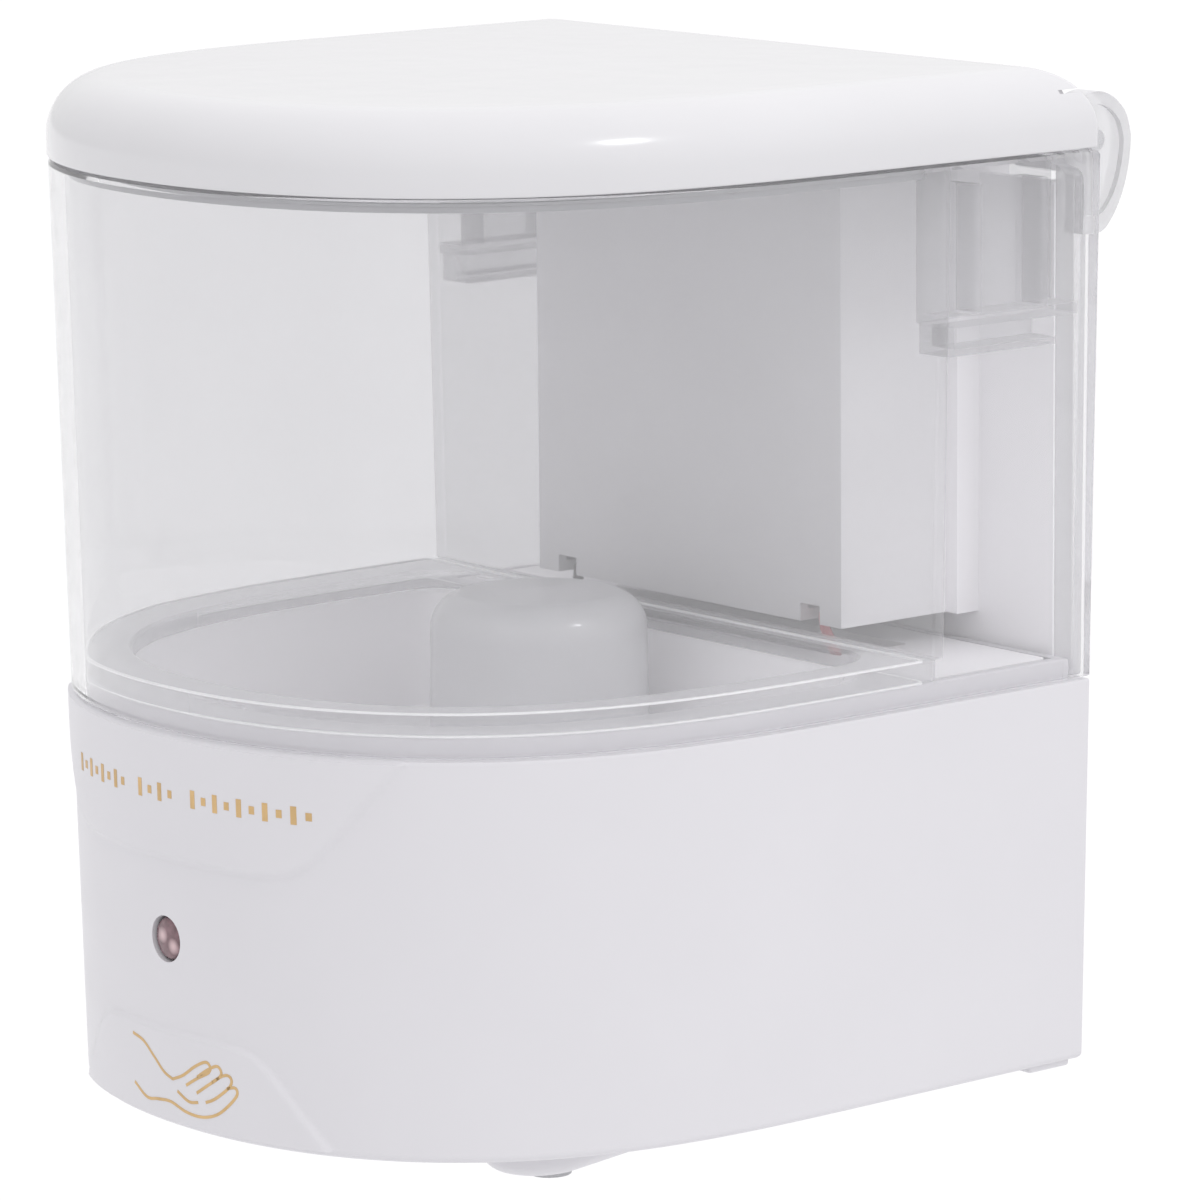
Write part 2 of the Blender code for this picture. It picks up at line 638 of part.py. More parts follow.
def hinge_pin(name, side):
    reach = (42.0, 57.2) if side > 0 else (-57.2, -42.0)
    cross_rod(name, PIN_R, reach, (HINGE_V, HINGE_H), "steel", count=16)


# ---------------------------------------------------------------- lid

KNUCKLE_PROFILE = [
    (1.6, 126.4), (-0.8, 125.8), (-3.3, 126.5), (-5.1, 128.3), (-5.8, 130.8), (-5.1, 133.3), (-3.3, 135.1),
    (0.5, 136.4), (1.6, 136.6),
]


def lid_rings():
    """The lid's skin, from its lower edge over the crown and back down inside."""
    start = H_TOP - LID_ROUND
    rings = [outline(H_LID, -LID_OVERHANG, 0.0, LID_CORNER, at=h) for h in (H_LID, start)]
    for a in (22.5, 45.0, 67.5):
        t = math.radians(a)
        into = LID_ROUND * (1 - math.cos(t))
        h = start + LID_ROUND * math.sin(t)
        rings.append(outline(H_LID, into - LID_OVERHANG, into, LID_CORNER, at=h))
    rings.append(outline(H_LID, LID_ROUND - LID_OVERHANG, LID_ROUND, LID_CORNER, at=H_TOP - 0.15))
    rings.append(outline(H_LID, CROWN_IN, CROWN_IN, LID_CORNER, at=H_TOP))
    top = len(rings) - 1
    rings.append(outline(H_LID, CROWN_IN, CROWN_IN, LID_CORNER, at=H_TOP - LID_WALL))
    bend = LID_ROUND - LID_WALL
    for a in (90.0, 45.0, 0.0):
        t = math.radians(a)
        into = LID_WALL + bend * (1 - math.cos(t))
        rings.append(outline(H_LID, into, into, LID_CORNER, at=start + bend * math.sin(t)))
    rings.append(outline(H_LID, LID_WALL, LID_WALL, LID_CORNER, at=H_LID))
    return rings, top


def lid():
    rings, top = lid_rings()
    count = len(rings[0])
    faces = [f for i, f in enumerate(loft_faces(rings, closed=True)) if i // count != top]
    faces.append(tuple(top * count + i for i in range(count)))
    faces.append(tuple((top + 1) * count + i for i in range(count)))
    points = [p for ring in rings for p in ring]
    body = add_object("lid", points, faces, "lid_white", (0.0, HINGE_V, HINGE_H))
    low, high = 129.0, H_TOP - 1.5
    combine(body, "UNION", loft("lid_skirt", [
        outline(H_LID, 4.0, 30.6, 3.0, at=low), outline(H_LID, 4.0, 30.6, 3.0, at=high),
        outline(H_LID, 5.6, 32.2, 3.0, at=high), outline(H_LID, 5.6, 32.2, 3.0, at=low),
    ], closed=True))
    for side in (-1, 1):
        notch = mirrored(side, EAR_X[0] - 0.4, EAR_X[1] + 0.35)
        combine(body, "DIFFERENCE", block("ear_notch", notch, (-9.0, 6.4), (125.0, 138.2)))
        combine(body, "UNION", plate("knuckle", KNUCKLE_PROFILE, mirrored(side, *KNUCKLE_X)))
    holes = cross_rod("knuckle_holes", PIN_R + PIN_CLEAR, (-60.0, 60.0), (HINGE_V, HINGE_H), count=16)
    combine(body, "DIFFERENCE", holes)


def lid_seal():
    origin = (0.0, HINGE_V, HINGE_H)
    low, high = 127.9, 128.7
    rings = [outline(H_LID, 2.8, 29.2, 3.0, at=low), outline(H_LID, 2.8, 29.2, 3.0, at=high),
             outline(H_LID, 3.6, 30.2, 3.0, at=high + 0.9), outline(H_LID, 3.6, 30.2, 3.0, at=high),
             outline(H_LID, 6.4, 33.0, 3.0, at=high), outline(H_LID, 6.4, 33.0, 3.0, at=low)]
    loft("lid_seal", rings, "silicone", closed=True, origin=origin)


# ---------------------------------------------------------------- batteries

PLATE_V = (0.0, 1.8)
PLATE_H = (55.6, 124.8)


def battery_box():
    """The box for the cells, with its cover's rails, on a plate that shuts the tank's rear opening."""
    body = block("battery_box", (-BOX_X, BOX_X), (-0.3, BOX_FRONT), BOX_H, "white", bevel=0.8)
    plate_x = WINDOW_X - 0.4
    combine(body, "UNION", block("back_plate", (-plate_x, plate_x), PLATE_V, PLATE_H))
    inner = BOX_X - BOX_WALL
    combine(body, "DIFFERENCE", block("battery_bay", (-inner, inner), (-3.0, BOX_FRONT - BOX_WALL),
                                      (BOX_H[0] + BOX_WALL, BOX_H[1] - BOX_WALL)))
    for side in (-1, 1):
        web = block("rail", mirrored(side, BOX_X - 0.2, BOX_X + 2.4), (-3.9, 6.0), BOX_H)
        lip = block("rail_lip", mirrored(side, BOX_X - 1.6, BOX_X + 2.2), (-3.9, -2.7), BOX_H)
        combine(body, "UNION", web, lip)
        notch = block("box_notch", mirrored(side, 24.5, 28.5), (21.0, 28.0), (60.0, 64.0))
        combine(body, "DIFFERENCE", notch)


def battery_cover():
    half = BOX_X - 0.5
    body = block("battery_cover", (-half, half), (-2.4, -0.6), BOX_H, "white", origin=(0, -1.5, 61.0))
    for i in range(3):
        h = 66.0 + 2.4 * i
        combine(body, "UNION", block(f"cover_grip_{i}", (-10.0, 10.0), (-3.0, -2.0), (h, h + 1.1)))


def cells():
    """Four cells side by side, every other one upside down."""
    low, high = CELL_H
    for i in range(4):
        x = CELL_PITCH * (i - 1.5)
        steps = [(low, 7.0), (low + 0.5, CELL_R), (high - 1.8, CELL_R), (high - 1.2, 6.8), (high - 1.2, 2.8),
                 (high, 2.8)]
        if i % 2:
            steps = [(low + high - h, r) for h, r in reversed(steps)]
        loft(f"battery_{i + 1}", [circle(r, 20, (x, CELL_V), h) for h, r in steps], "cell")


def contact(name, x0, x1, h, way):
    """A sprung metal strip: a flat back against the bay with a leaf bowed towards the cell."""
    far = h + way * 0.4
    profile = [(x0, h), (x0, far)]
    cell_x = [x0 + LEAF_X] if x1 - x0 < CELL_PITCH else [x0 + LEAF_X, x1 - LEAF_X]
    for c in cell_x:
        profile += [(c - 4.0, far), (c - 1.2, h + way * 2.6), (c + 1.2, h + way * 2.6), (c + 4.0, far)]
    profile.append((x1, far))
    under = [(x1, h)]
    for c in reversed(cell_x):
        under += [(c + 3.4, h), (c + 1.0, h + way * 2.1), (c - 1.0, h + way * 2.1), (c - 3.4, h)]
    points = profile + under
    loft(name, [[(x, v, z) for x, z in points] for v in (6.5, 16.5)], "brass")


def contacts():
    low, high = BOX_H[0] + BOX_WALL + GAP, BOX_H[1] - BOX_WALL - GAP
    strips = (
        ("top_left", -1.5, -1.5, high, -1), ("top_middle", -0.5, 0.5, high, -1),
        ("top_right", 1.5, 1.5, high, -1),
        ("low_left", -1.5, -0.5, low, 1), ("low_right", 0.5, 1.5, low, 1),
    )
    for where, first, last, h, way in strips:
        contact(f"contact_{where}", first * CELL_PITCH - LEAF_X, last * CELL_PITCH + LEAF_X, h, way)


def wires():
    """Each lead drops through the sump's deck and follows the base's side wall to the board."""
    path = [(26.5, 22.4, 65.0), (26.7, 23.4, 62.4), (27.8, 22.4, 58.0), (30.0, 20.0, 46.0), (43.0, 40.0, 32.0),
            (45.0, 70.0, 30.0), (41.0, 95.0, 29.0), (27.0, 105.6, 27.0), (13.0, 109.4, 26.0)]
    for colour, side, end in (("red", 1, 24.0), ("black", -1, 20.0)):
        route = [(side * x, v, h) for x, v, h in path + [(6.0, 110.2, end)]]
        hose(f"wire_{colour}", route, 0.8, colour, sides=1)


clear_scene()
PARTS, CUTTERS = make_collections()
MATERIALS = make_materials()

wall_bracket()
wall_screw("wall_screw_left", -SCREW_X)
wall_screw("wall_screw_right", SCREW_X)
base_housing()
base_floor()
for number, (post_x, post_v) in enumerate(POSTS):
    case_screw(f"case_screw_{number + 1}", post_x, post_v)
nozzle_shroud()
nozzle_tip()
sensor_parts()
sump()
pump_cap()
pump_housing()
gear_train()
motor()
pump_tube()
switch()
tank()
hinge_pin("hinge_pin_left", -1)
hinge_pin("hinge_pin_right", 1)
lid()
lid_seal()
battery_box()
battery_cover()
cells()
contacts()
wires()
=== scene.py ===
import json
import math

import bmesh
import bpy
import numpy as np
from mathutils import Matrix, Vector

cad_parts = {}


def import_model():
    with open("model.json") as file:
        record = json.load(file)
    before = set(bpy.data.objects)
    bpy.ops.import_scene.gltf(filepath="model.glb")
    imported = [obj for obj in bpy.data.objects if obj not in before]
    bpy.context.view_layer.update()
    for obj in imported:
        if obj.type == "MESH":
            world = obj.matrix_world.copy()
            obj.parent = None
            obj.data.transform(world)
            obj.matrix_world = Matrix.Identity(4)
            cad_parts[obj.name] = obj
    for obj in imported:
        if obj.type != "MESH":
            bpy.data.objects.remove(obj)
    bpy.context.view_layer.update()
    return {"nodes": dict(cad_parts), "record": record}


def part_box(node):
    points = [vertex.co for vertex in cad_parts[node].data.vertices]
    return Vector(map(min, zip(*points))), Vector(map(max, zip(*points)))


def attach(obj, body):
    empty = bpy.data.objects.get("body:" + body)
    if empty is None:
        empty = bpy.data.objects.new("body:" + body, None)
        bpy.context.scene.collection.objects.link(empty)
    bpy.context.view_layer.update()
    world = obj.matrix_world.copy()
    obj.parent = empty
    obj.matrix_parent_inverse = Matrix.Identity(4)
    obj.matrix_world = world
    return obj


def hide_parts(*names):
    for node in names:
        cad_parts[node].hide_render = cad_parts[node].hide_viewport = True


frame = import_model()
NODES = frame["nodes"]

MM = 0.001

# Sizes are in millimetres. Places are (x, v, h): x is the width, v the distance in front of the body's
# back plane, and h the height above the base's bottom.
COLLAR_TOP = 58.1
WALL_GAP = -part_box("base_housing")[1].y / MM
MOUNT_H = COLLAR_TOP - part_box("base_housing")[1].z / MM

# The body's outline is half a superellipse in front, and straight sides from there to the back plane. The two
# drafts narrow it downwards.
WIDTH = 117.5
DEPTH = 120.7
STRAIGHT = 42.4
ROUND_X = 2.133
ROUND_V = 3.043
SIDE_DRAFT = 0.0217
FRONT_DRAFT = 0.0185
FINE_POINTS = 1600
SIDE_POINTS = 80
HALF_POINTS = 150
FRONT_POINTS = 320
CORNER_POINTS = 8

# Heights of the base's and the lid's joints with the tank, and the walls between them
H_LID = 130.0
H_JOINT = 55.2
H_TOP = 141.3
WALL = 2.4
CLEAR_WALL = 2.2
GAP = 0.3

# Lid and tank
LID_ROUND = 8.5
LID_OVERHANG = 0.2
LID_CORNER = 1.2
LID_CROWN = 0.15
LID_WALL = 2.2
H_FLANGE = 58.4
FLANGE_T = 2.7
FLANGE_IN = 9.0
TANK_BACK = 26.5
WINDOW_X = 51.0
RIM_X = 55.0
POCKET_X = (49.0, 55.9)
POCKET_V = 2.4
POCKET_H = 107.0
RIB_V = (8.0, 20.4)
RIB_T = 1.4
STEP_DROP = 4.0
PLATE_V = (0.0, 1.8)
PLATE_H = (55.6, 124.8)

# Hinge: each pin runs through an ear of the tank and a knuckle of the lid
HINGE_V = -0.8
HINGE_H = 130.8
EAR_X = (53.0, 57.0)
KNUCKLE_X = (42.4, 48.6)
PIN_R = 1.5
PIN_CLEAR = 0.25

# Sensor, soap well and battery box
SENSOR_H = 26.3
SENSOR_R = 2.95
DOME_V = 53.0
DOME_R = 15.6
DOME_TOP = 67.0
SUMP_FLOOR = 41.8
SUMP_CORNER = 8.0
BOX_X = 33.0
BOX_FRONT = 25.8
BOX_H = (62.2, 127.0)
BOX_WALL = 1.6

# Underside, screw posts and the slots for the bracket's hooks
SHROUD_X = 9.0
SHROUD_V = (22.0, 62.0)
SHROUD_SLOPE = 0.085
SHROUD_LOW = -15.2
SHROUD_ROUND = 2.4
NOZZLE_V = 52.0
POSTS = [(50.5, 14.0), (-50.5, 14.0), (48.8, 70.0), (-48.8, 70.0)]
HOOKS = [(x, h) for x in (-40.0, 40.0) for h in (14.0, 42.0)]
HOOK_LIFT = 5.0


# ---------------------------------------------------------------- meshes

def world(point):
    x, v, h = point
    return (x * MM, -(WALL_GAP + v) * MM, (h - MOUNT_H) * MM)


def half_outline(h, inset=0.0, back=0.0, corner=0.0, count=HALF_POINTS):
    """The right half of the body's outline at height h, from its back corner to its front centre.

    It lies `inset` inside the body's surface and starts at v = `back`, with a rounded corner there.
    """
    below = H_LID - h
    half = WIDTH / 2 - SIDE_DRAFT * below
    depth = DEPTH - FRONT_DRAFT * below
    t = np.linspace(0.0, math.pi / 2, FINE_POINTS)
    x = half * np.cos(t) ** (2 / ROUND_X)
    v = STRAIGHT + (depth - STRAIGHT) * np.sin(t) ** (2 / ROUND_V)
    x = np.concatenate([np.full(SIDE_POINTS, half), x])
    v = np.concatenate([np.linspace(-10.0, STRAIGHT, SIDE_POINTS + 1)[:-1], v])
    dx, dv = np.gradient(x), np.gradient(v)
    size = np.hypot(dx, dv)
    x, v = x - inset * dv / size, v + inset * dx / size
    x[-1] = 0.0
    keep = (v >= back + corner) & (x >= 0.0)
    x, v = x[keep], v[keep]
    start = x[0]
    x = np.concatenate([[start], x])
    v = np.concatenate([[back + corner], v])
    run = np.concatenate([[0.0], np.cumsum(np.hypot(np.diff(x), np.diff(v)))])
    share = np.linspace(0.0, 1.0, count)
    x, v = np.interp(share * run[-1], run, x), np.interp(share * run[-1], run, v)
    x[-1] = 0.0
    if corner:
        turn = np.linspace(-math.pi / 2, 0.0, CORNER_POINTS + 1)[:-1]
        x = np.concatenate([start - corner + corner * np.cos(turn), x])
        v = np.concatenate([back + corner + corner * np.sin(turn), v])
    return x, v


def outline(h, inset=0.0, back=0.0, corner=0.0, at=None, count=HALF_POINTS):
    """A closed ring of points on the body's outline at height h, or drawn at another height."""
    x, v = half_outline(h, inset, back, corner, count)
    z = np.full(len(x), h if at is None else at)
    right = np.stack([x, v, z], 1)
    left = right[:-1][::-1] * (-1, 1, 1)
    return np.concatenate([right, left])


def loft_faces(count, rings, closed):
    faces = []
    pairs = list(zip(range(rings), range(1, rings)))
    if closed:
        pairs.append((rings - 1, 0))
    for a, b in pairs:
        for i in range(count):
            j = (i + 1) % count
            faces.append((a * count + i, a * count + j, b * count + j, b * count + i))
    if not closed:
        faces.append(tuple(range(count)))
        faces.append(tuple((rings - 1) * count + i for i in range(count)))
    return faces


def mesh_object(name, points, faces):
    mesh = bpy.data.meshes.new(name)
    mesh.from_pydata([world(p) for p in points], [], faces)
    shell = bmesh.new()
    shell.from_mesh(mesh)
    bmesh.ops.recalc_face_normals(shell, faces=shell.faces)
    shell.to_mesh(mesh)
    shell.free()
    obj = bpy.data.objects.new(name, mesh)
    bpy.context.scene.collection.objects.link(obj)
    return obj


def loft(name, rings, closed=False):
    points = [tuple(p) for ring in rings for p in ring]
    return mesh_object(name, points, loft_faces(len(rings[0]), len(rings), closed))


def block(name, x, v, h):
    ring = [(x[0], v[0]), (x[1], v[0]), (x[1], v[1]), (x[0], v[1])]
    return loft(name, [[(a, b, z) for a, b in ring] for z in h])


def circle(r, count, centre, h, phase=0.0):
    steps = [phase + 2 * math.pi * i / count for i in range(count)]
    return [(centre[0] + r * math.cos(a), centre[1] + r * math.sin(a), h) for a in steps]


def rod(name, r, h, centre, count=48):
    return loft(name, [circle(r, count, centre, z) for z in h])


def cross_rod(name, r, x, centre, count=48):
    return loft(name, [[(a, p[0], p[1]) for p in circle(r, count, centre, 0.0)] for a in x])


def deep_rod(name, r, v, centre, count=48):
    return loft(name, [[(p[0], a, p[1]) for p in circle(r, count, centre, 0.0)] for a in v])


def plate(name, profile, x):
    return loft(name, [[(a, v, h) for v, h in profile] for a in x])


def mirrored(side, a, b):
    """The span from a to b, or its mirror image where side is -1."""
    return sorted((side * a, side * b))


def arc(centre, r, start, stop, count):
    """Points on an arc in the plane of a profile, angles in degrees."""
    steps = np.radians(np.linspace(start, stop, count + 1))
    return [(centre[0] + r * math.cos(a), centre[1] + r * math.sin(a)) for a in steps]


def apply_modifiers(obj):
    graph = bpy.context.evaluated_depsgraph_get()
    old = obj.data
    obj.data = bpy.data.meshes.new_from_object(obj.evaluated_get(graph))
    obj.modifiers.clear()
    bpy.data.meshes.remove(old)
    return obj


def combine(target, operation, *others):
    """Applies a Boolean with each of the others, which are then removed."""
    for other in others:
        step = target.modifiers.new("combine", "BOOLEAN")
        step.operation = operation
        step.solver = "EXACT"
        step.object = other
    apply_modifiers(target)
    for other in others:
        bpy.data.objects.remove(other)
    return target


def join(target, *others):
    """Puts the others' meshes into the target's."""
    shell = bmesh.new()
    shell.from_mesh(target.data)
    for other in others:
        shell.from_mesh(other.data)
        bpy.data.objects.remove(other)
    shell.to_mesh(target.data)
    shell.free()
    return target


def soften(obj, width, segments=3, angle=30):
    step = obj.modifiers.new("soft edges", "BEVEL")
    step.width = width * MM
    step.segments = segments
    step.limit_method = "ANGLE"
    step.angle_limit = math.radians(angle)
    step.harden_normals = False
    return obj


def dress(obj, material, body, slot, *replaced, angle=35):
    """Finishes a piece: its shading, its material, the body it rides on and the nodes it stands for."""
    obj.data.materials.clear()
    obj.data.materials.append(material)
    obj.data.shade_smooth()
    obj.data.set_sharp_from_angle(angle=math.radians(angle))
    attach(obj, body)
    if replaced:
        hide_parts(*replaced)
    return obj


# ---------------------------------------------------------------- materials

class Nodes:
    """A short hand for building a material's nodes."""

    def __init__(self, name):
        self.material = bpy.data.materials.new(name)
        self.material.use_nodes = True
        self.tree = self.material.node_tree
        self.shader = self.tree.nodes["Principled BSDF"]
        self.output = self.tree.nodes["Material Output"]
        self.place = self.tree.nodes.new("ShaderNodeTexCoord").outputs["Object"]

    def add(self, kind, **settings):
        node = self.tree.nodes.new(kind)
        for key, value in settings.items():
            setattr(node, key, value)
        return node

    def link(self, source, target):
        self.tree.links.new(source, target)

    def noise(self, scale, detail=3.0, stretch=None):
        node = self.add("ShaderNodeTexNoise")
        node.inputs["Scale"].default_value = scale
        node.inputs["Detail"].default_value = detail
        if stretch:
            turn = self.add("ShaderNodeMapping")
            turn.inputs["Scale"].default_value = stretch
            self.link(self.place, turn.inputs["Vector"])
            self.link(turn.outputs["Vector"], node.inputs["Vector"])
        else:
            self.link(self.place, node.inputs["Vector"])
        return node.outputs["Fac"]

    def span(self, source, low, high, start=0.3, stop=0.7):
        node = self.add("ShaderNodeMapRange")
        node.inputs["From Min"].default_value = start
        node.inputs["From Max"].default_value = stop
        node.inputs["To Min"].default_value = low
        node.inputs["To Max"].default_value = high
        self.link(source, node.inputs["Value"])
        return node.outputs["Result"]

    def ramp(self, source, stops):
        node = self.add("ShaderNodeValToRGB")
        points = node.color_ramp.elements
        while len(points) < len(stops):
            points.new(0.5)
        for point, (at, colour) in zip(points, stops):
            point.position = at
            point.color = (*colour, 1.0)
        self.link(source, node.inputs["Fac"])
        return node.outputs["Color"]

    def blend(self, share, first, second):
        node = self.add("ShaderNodeMix", data_type="RGBA")
        self.link(share, node.inputs["Factor"])
        for socket, value in ((node.inputs[6], first), (node.inputs[7], second)):
            if isinstance(value, tuple):
                socket.default_value = (*value, 1.0)
            else:
                self.link(value, socket)
        return node.outputs[2]

    def bump(self, source, strength, distance):
        node = self.add("ShaderNodeBump")
        node.inputs["Strength"].default_value = strength
        node.inputs["Distance"].default_value = distance
        self.link(source, node.inputs["Height"])
        if self.shader.inputs["Normal"].links:
            self.link(self.shader.inputs["Normal"].links[0].from_socket, node.inputs["Normal"])
        self.link(node.outputs["Normal"], self.shader.inputs["Normal"])

    def colour(self, source, stops):
        self.link(self.ramp(source, stops), self.shader.inputs["Base Color"])

    def roughness(self, source, low, high):
        self.link(self.span(source, low, high), self.shader.inputs["Roughness"])

    def set(self, **values):
        for key, value in values.items():
            self.shader.inputs[key.replace("_", " ")].default_value = value


def shade(colour, factor):
    return tuple(c * factor for c in colour)


def moulded(name, colour, rough=0.25, grain=900.0, wave=0.00002, **sockets):
    """Moulded plastic: a faint cloudiness in its colour, fine grain and a very shallow surface wave."""
    n = Nodes(name)
    cloud = n.noise(38.0, 4.0)
    n.colour(cloud, [(0.25, shade(colour, 0.985)), (0.75, shade(colour, 1.01))])
    n.roughness(n.noise(120.0, 3.0), rough * 0.92, rough * 1.1)
    n.bump(n.noise(grain, 1.0), 0.02, 0.00002)
    n.bump(n.noise(30.0, 1.0), 0.12, wave)
    n.set(**sockets)
    return n.material


def metal(name, colour, rough, stretch=(1.0, 1.0, 1.0), **sockets):
    n = Nodes(name)
    cloud = n.noise(220.0, 4.0, stretch=stretch)
    n.colour(cloud, [(0.3, shade(colour, 0.86)), (0.7, shade(colour, 1.06))])
    n.roughness(n.noise(900.0, 4.0, stretch=stretch), rough * 0.7, rough * 1.35)
    n.bump(n.noise(1500.0, 3.0, stretch=stretch), 0.15, 0.00002)
    n.shader.inputs["Metallic"].default_value = 1.0
    n.set(**sockets)
    return n.material


def clear_plastic(name, tint, haze=0.05, rough=0.02):
    """Clear moulded plastic with a faint haze. Lamps and soft light reach what is behind it."""
    n = Nodes(name)
    n.colour(n.noise(45.0, 4.0), [(0.3, shade(tint, 0.99)), (0.7, tint)])
    n.roughness(n.noise(120.0, 4.0), rough * 0.6, rough * 1.5)
    n.bump(n.noise(26.0, 2.0), 0.1, 0.00002)
    n.set(Transmission_Weight=1.0, IOR=1.42)
    cloud = n.add("ShaderNodeBsdfDiffuse")
    pale = n.ramp(n.noise(60.0, 3.0), [(0.3, (0.88, 0.88, 0.89)), (0.7, (0.92, 0.92, 0.93))])
    n.link(pale, cloud.inputs["Color"])
    veil = n.add("ShaderNodeMixShader")
    veil.inputs["Fac"].default_value = haze
    n.link(n.shader.outputs["BSDF"], veil.inputs[1])
    n.link(cloud.outputs["BSDF"], veil.inputs[2])
    pass_through(n, veil.outputs["Shader"], 0.985)
    return n.material


def milky_plastic(name, colour, share=(0.14, 0.8), rough=0.4):
    """Thick clear plastic that looks milky: thin where it is seen face on, and denser towards its edges."""
    n = Nodes(name)
    n.colour(n.noise(70.0, 4.0), [(0.3, shade(colour, 0.96)), (0.7, shade(colour, 1.02))])
    n.roughness(n.noise(140.0, 4.0), rough * 0.85, rough * 1.2)
    n.bump(n.noise(60.0, 1.0), 0.05, 0.00002)
    edge = n.add("ShaderNodeLayerWeight")
    edge.inputs["Blend"].default_value = 0.35
    dense = n.span(edge.outputs["Facing"], *share, 0.1, 0.95)
    pass_through(n, n.shader.outputs["BSDF"], 0.93, dense)
    return n.material


def pass_through(n, surface, strength, dense=None):
    """Lets shadow and soft light rays past a surface and, where `dense` is under 1, the view as well."""
    through = n.add("ShaderNodeBsdfTransparent")
    through.inputs["Color"].default_value = (strength, strength, strength + 0.002, 1.0)
    if dense is not None:
        veil = n.add("ShaderNodeMixShader")
        n.link(dense, veil.inputs["Fac"])
        n.link(through.outputs["BSDF"], veil.inputs[1])
        n.link(surface, veil.inputs[2])
        surface = veil.outputs["Shader"]
    paths = n.add("ShaderNodeLightPath")
    unseen = n.add("ShaderNodeMath", operation="MAXIMUM")
    n.link(paths.outputs["Is Shadow Ray"], unseen.inputs[0])
    n.link(paths.outputs["Is Diffuse Ray"], unseen.inputs[1])
    mix = n.add("ShaderNodeMixShader")
    n.link(unseen.outputs["Value"], mix.inputs["Fac"])
    n.link(surface, mix.inputs[1])
    n.link(through.outputs["BSDF"], mix.inputs[2])
    n.link(mix.outputs["Shader"], n.output.inputs["Surface"])


DIODES = [(-1.1, SENSOR_H + 0.3), (1.25, SENSOR_H - 0.9)]
DIODE_V = 118.0
CELL_BAND_H = 104.0


def lens_material():
    """Smoked lens with two pale spots where the diodes sit behind it."""
    n = Nodes("smoked_lens")
    spots = None
    for x, h in DIODES:
        apart = n.add("ShaderNodeVectorMath", operation="DISTANCE")
        n.link(n.place, apart.inputs[0])
        apart.inputs[1].default_value = world((x, DIODE_V, h))
        near = n.span(apart.outputs["Value"], 1.0, 0.0, 0.0004, 0.0013)
        if spots is None:
            spots = near
            continue
        both = n.add("ShaderNodeMath", operation="MAXIMUM")
        n.link(spots, both.inputs[0])
        n.link(near, both.inputs[1])
        spots = both.outputs["Value"]
    dark = n.ramp(n.noise(900.0, 3.0), [(0.3, (0.10, 0.045, 0.055)), (0.7, (0.20, 0.10, 0.12))])
    n.link(n.blend(spots, dark, (0.62, 0.45, 0.47)), n.shader.inputs["Base Color"])
    n.roughness(n.noise(300.0), 0.06, 0.14)
    n.set(Coat_Weight=0.6)
    return n.material


def cell_material():
    """A plain cell jacket: dark for most of its length, with a copper-coloured end."""
    n = Nodes("cell_jacket")
    split = n.add("ShaderNodeSeparateXYZ")
    n.link(n.place, split.inputs["Vector"])
    h0 = (CELL_BAND_H - MOUNT_H) * MM
    band = n.span(split.outputs["Z"], 0.0, 1.0, h0, h0 + 0.0002)
    dark = n.ramp(n.noise(300.0), [(0.3, (0.018, 0.02, 0.026)), (0.7, (0.03, 0.033, 0.04))])
    n.link(n.blend(band, dark, (0.45, 0.24, 0.10)), n.shader.inputs["Base Color"])
    n.roughness(n.noise(500.0), 0.25, 0.4)
    n.bump(n.noise(700.0), 0.1, 0.00003)
    n.set(Metallic=0.35)
    return n.material


# The denoiser leaves flecks where one surface's roughness crosses about 0.274, so no range here does.
WHITE = moulded("white_abs", (0.64, 0.63, 0.66), rough=0.34)
LID_WHITE = moulded("lid_abs", (0.625, 0.62, 0.64), rough=0.17, wave=0.00001,
                    Coat_Weight=0.3, Coat_Roughness=0.05)
# A brighter copy of the base's white plastic for the soap well and the battery box: painted light that makes
# up for the shade inside the tank.
BRIGHTENED_WHITE = moulded("brightened_white", (0.95, 0.94, 0.96), rough=0.38)
CLEAR = clear_plastic("clear_styrene", (0.852, 0.849, 0.860))
MILKY = milky_plastic("milky_styrene", (0.74, 0.735, 0.755))
THIN_MILKY = milky_plastic("thin_styrene", (0.78, 0.775, 0.79), share=(0.05, 0.6))
# Pale, nearly opaque plastic for the flange's beads: painted highlight, the bright lines along the clear
# flange's edges.
BEAD_HIGHLIGHT = milky_plastic("bead_highlight_styrene", (0.93, 0.93, 0.94), share=(0.75, 1.0))
THICK_MILKY = milky_plastic("thick_styrene", (0.70, 0.695, 0.715), share=(0.45, 0.9))
FROSTED = moulded("frosted_polypropylene", (0.84, 0.84, 0.86), rough=0.4, grain=1600.0, wave=0.00003,
                  Coat_Weight=0.5, Coat_Roughness=0.12, Transmission_Weight=0.35, IOR=1.35)
SILICONE = moulded("silicone", (0.50, 0.50, 0.52), rough=0.5, Transmission_Weight=0.2)
GREY = moulded("grey_acetal", (0.36, 0.36, 0.38), rough=0.45)
BLACK = moulded("black_plastic", (0.022, 0.022, 0.024), rough=0.45)
RED = moulded("red_sleeve", (0.55, 0.03, 0.045), rough=0.45)
BOARD = moulded("board_green", (0.02, 0.16, 0.07), rough=0.4)
STEEL = metal("zinc_steel", (0.62, 0.62, 0.64), 0.28)
BRASS = metal("plain_brass", (0.80, 0.60, 0.28), 0.3)
GOLD = metal("gold_print", (0.62, 0.42, 0.20), 0.45, Metallic=0.35)
LENS = lens_material()
CELL = cell_material()

CARRIED = {
    "white": WHITE, "lid_white": LID_WHITE, "clear": CLEAR, "frosted": FROSTED, "silicone": SILICONE,
    "grey": GREY, "lens": LENS, "steel": STEEL, "brass": BRASS, "board": BOARD, "black": BLACK, "red": RED,
    "cell": CELL,
}


def dress_carried_nodes():
    for entry in frame["record"]["subparts"]:
        obj = NODES[entry["node"]]
        material = CARRIED[entry["material_slot"]]
        if not obj.material_slots:
            obj.data.materials.append(material)
        for slot in obj.material_slots:
            slot.material = material


# ---------------------------------------------------------------- lid

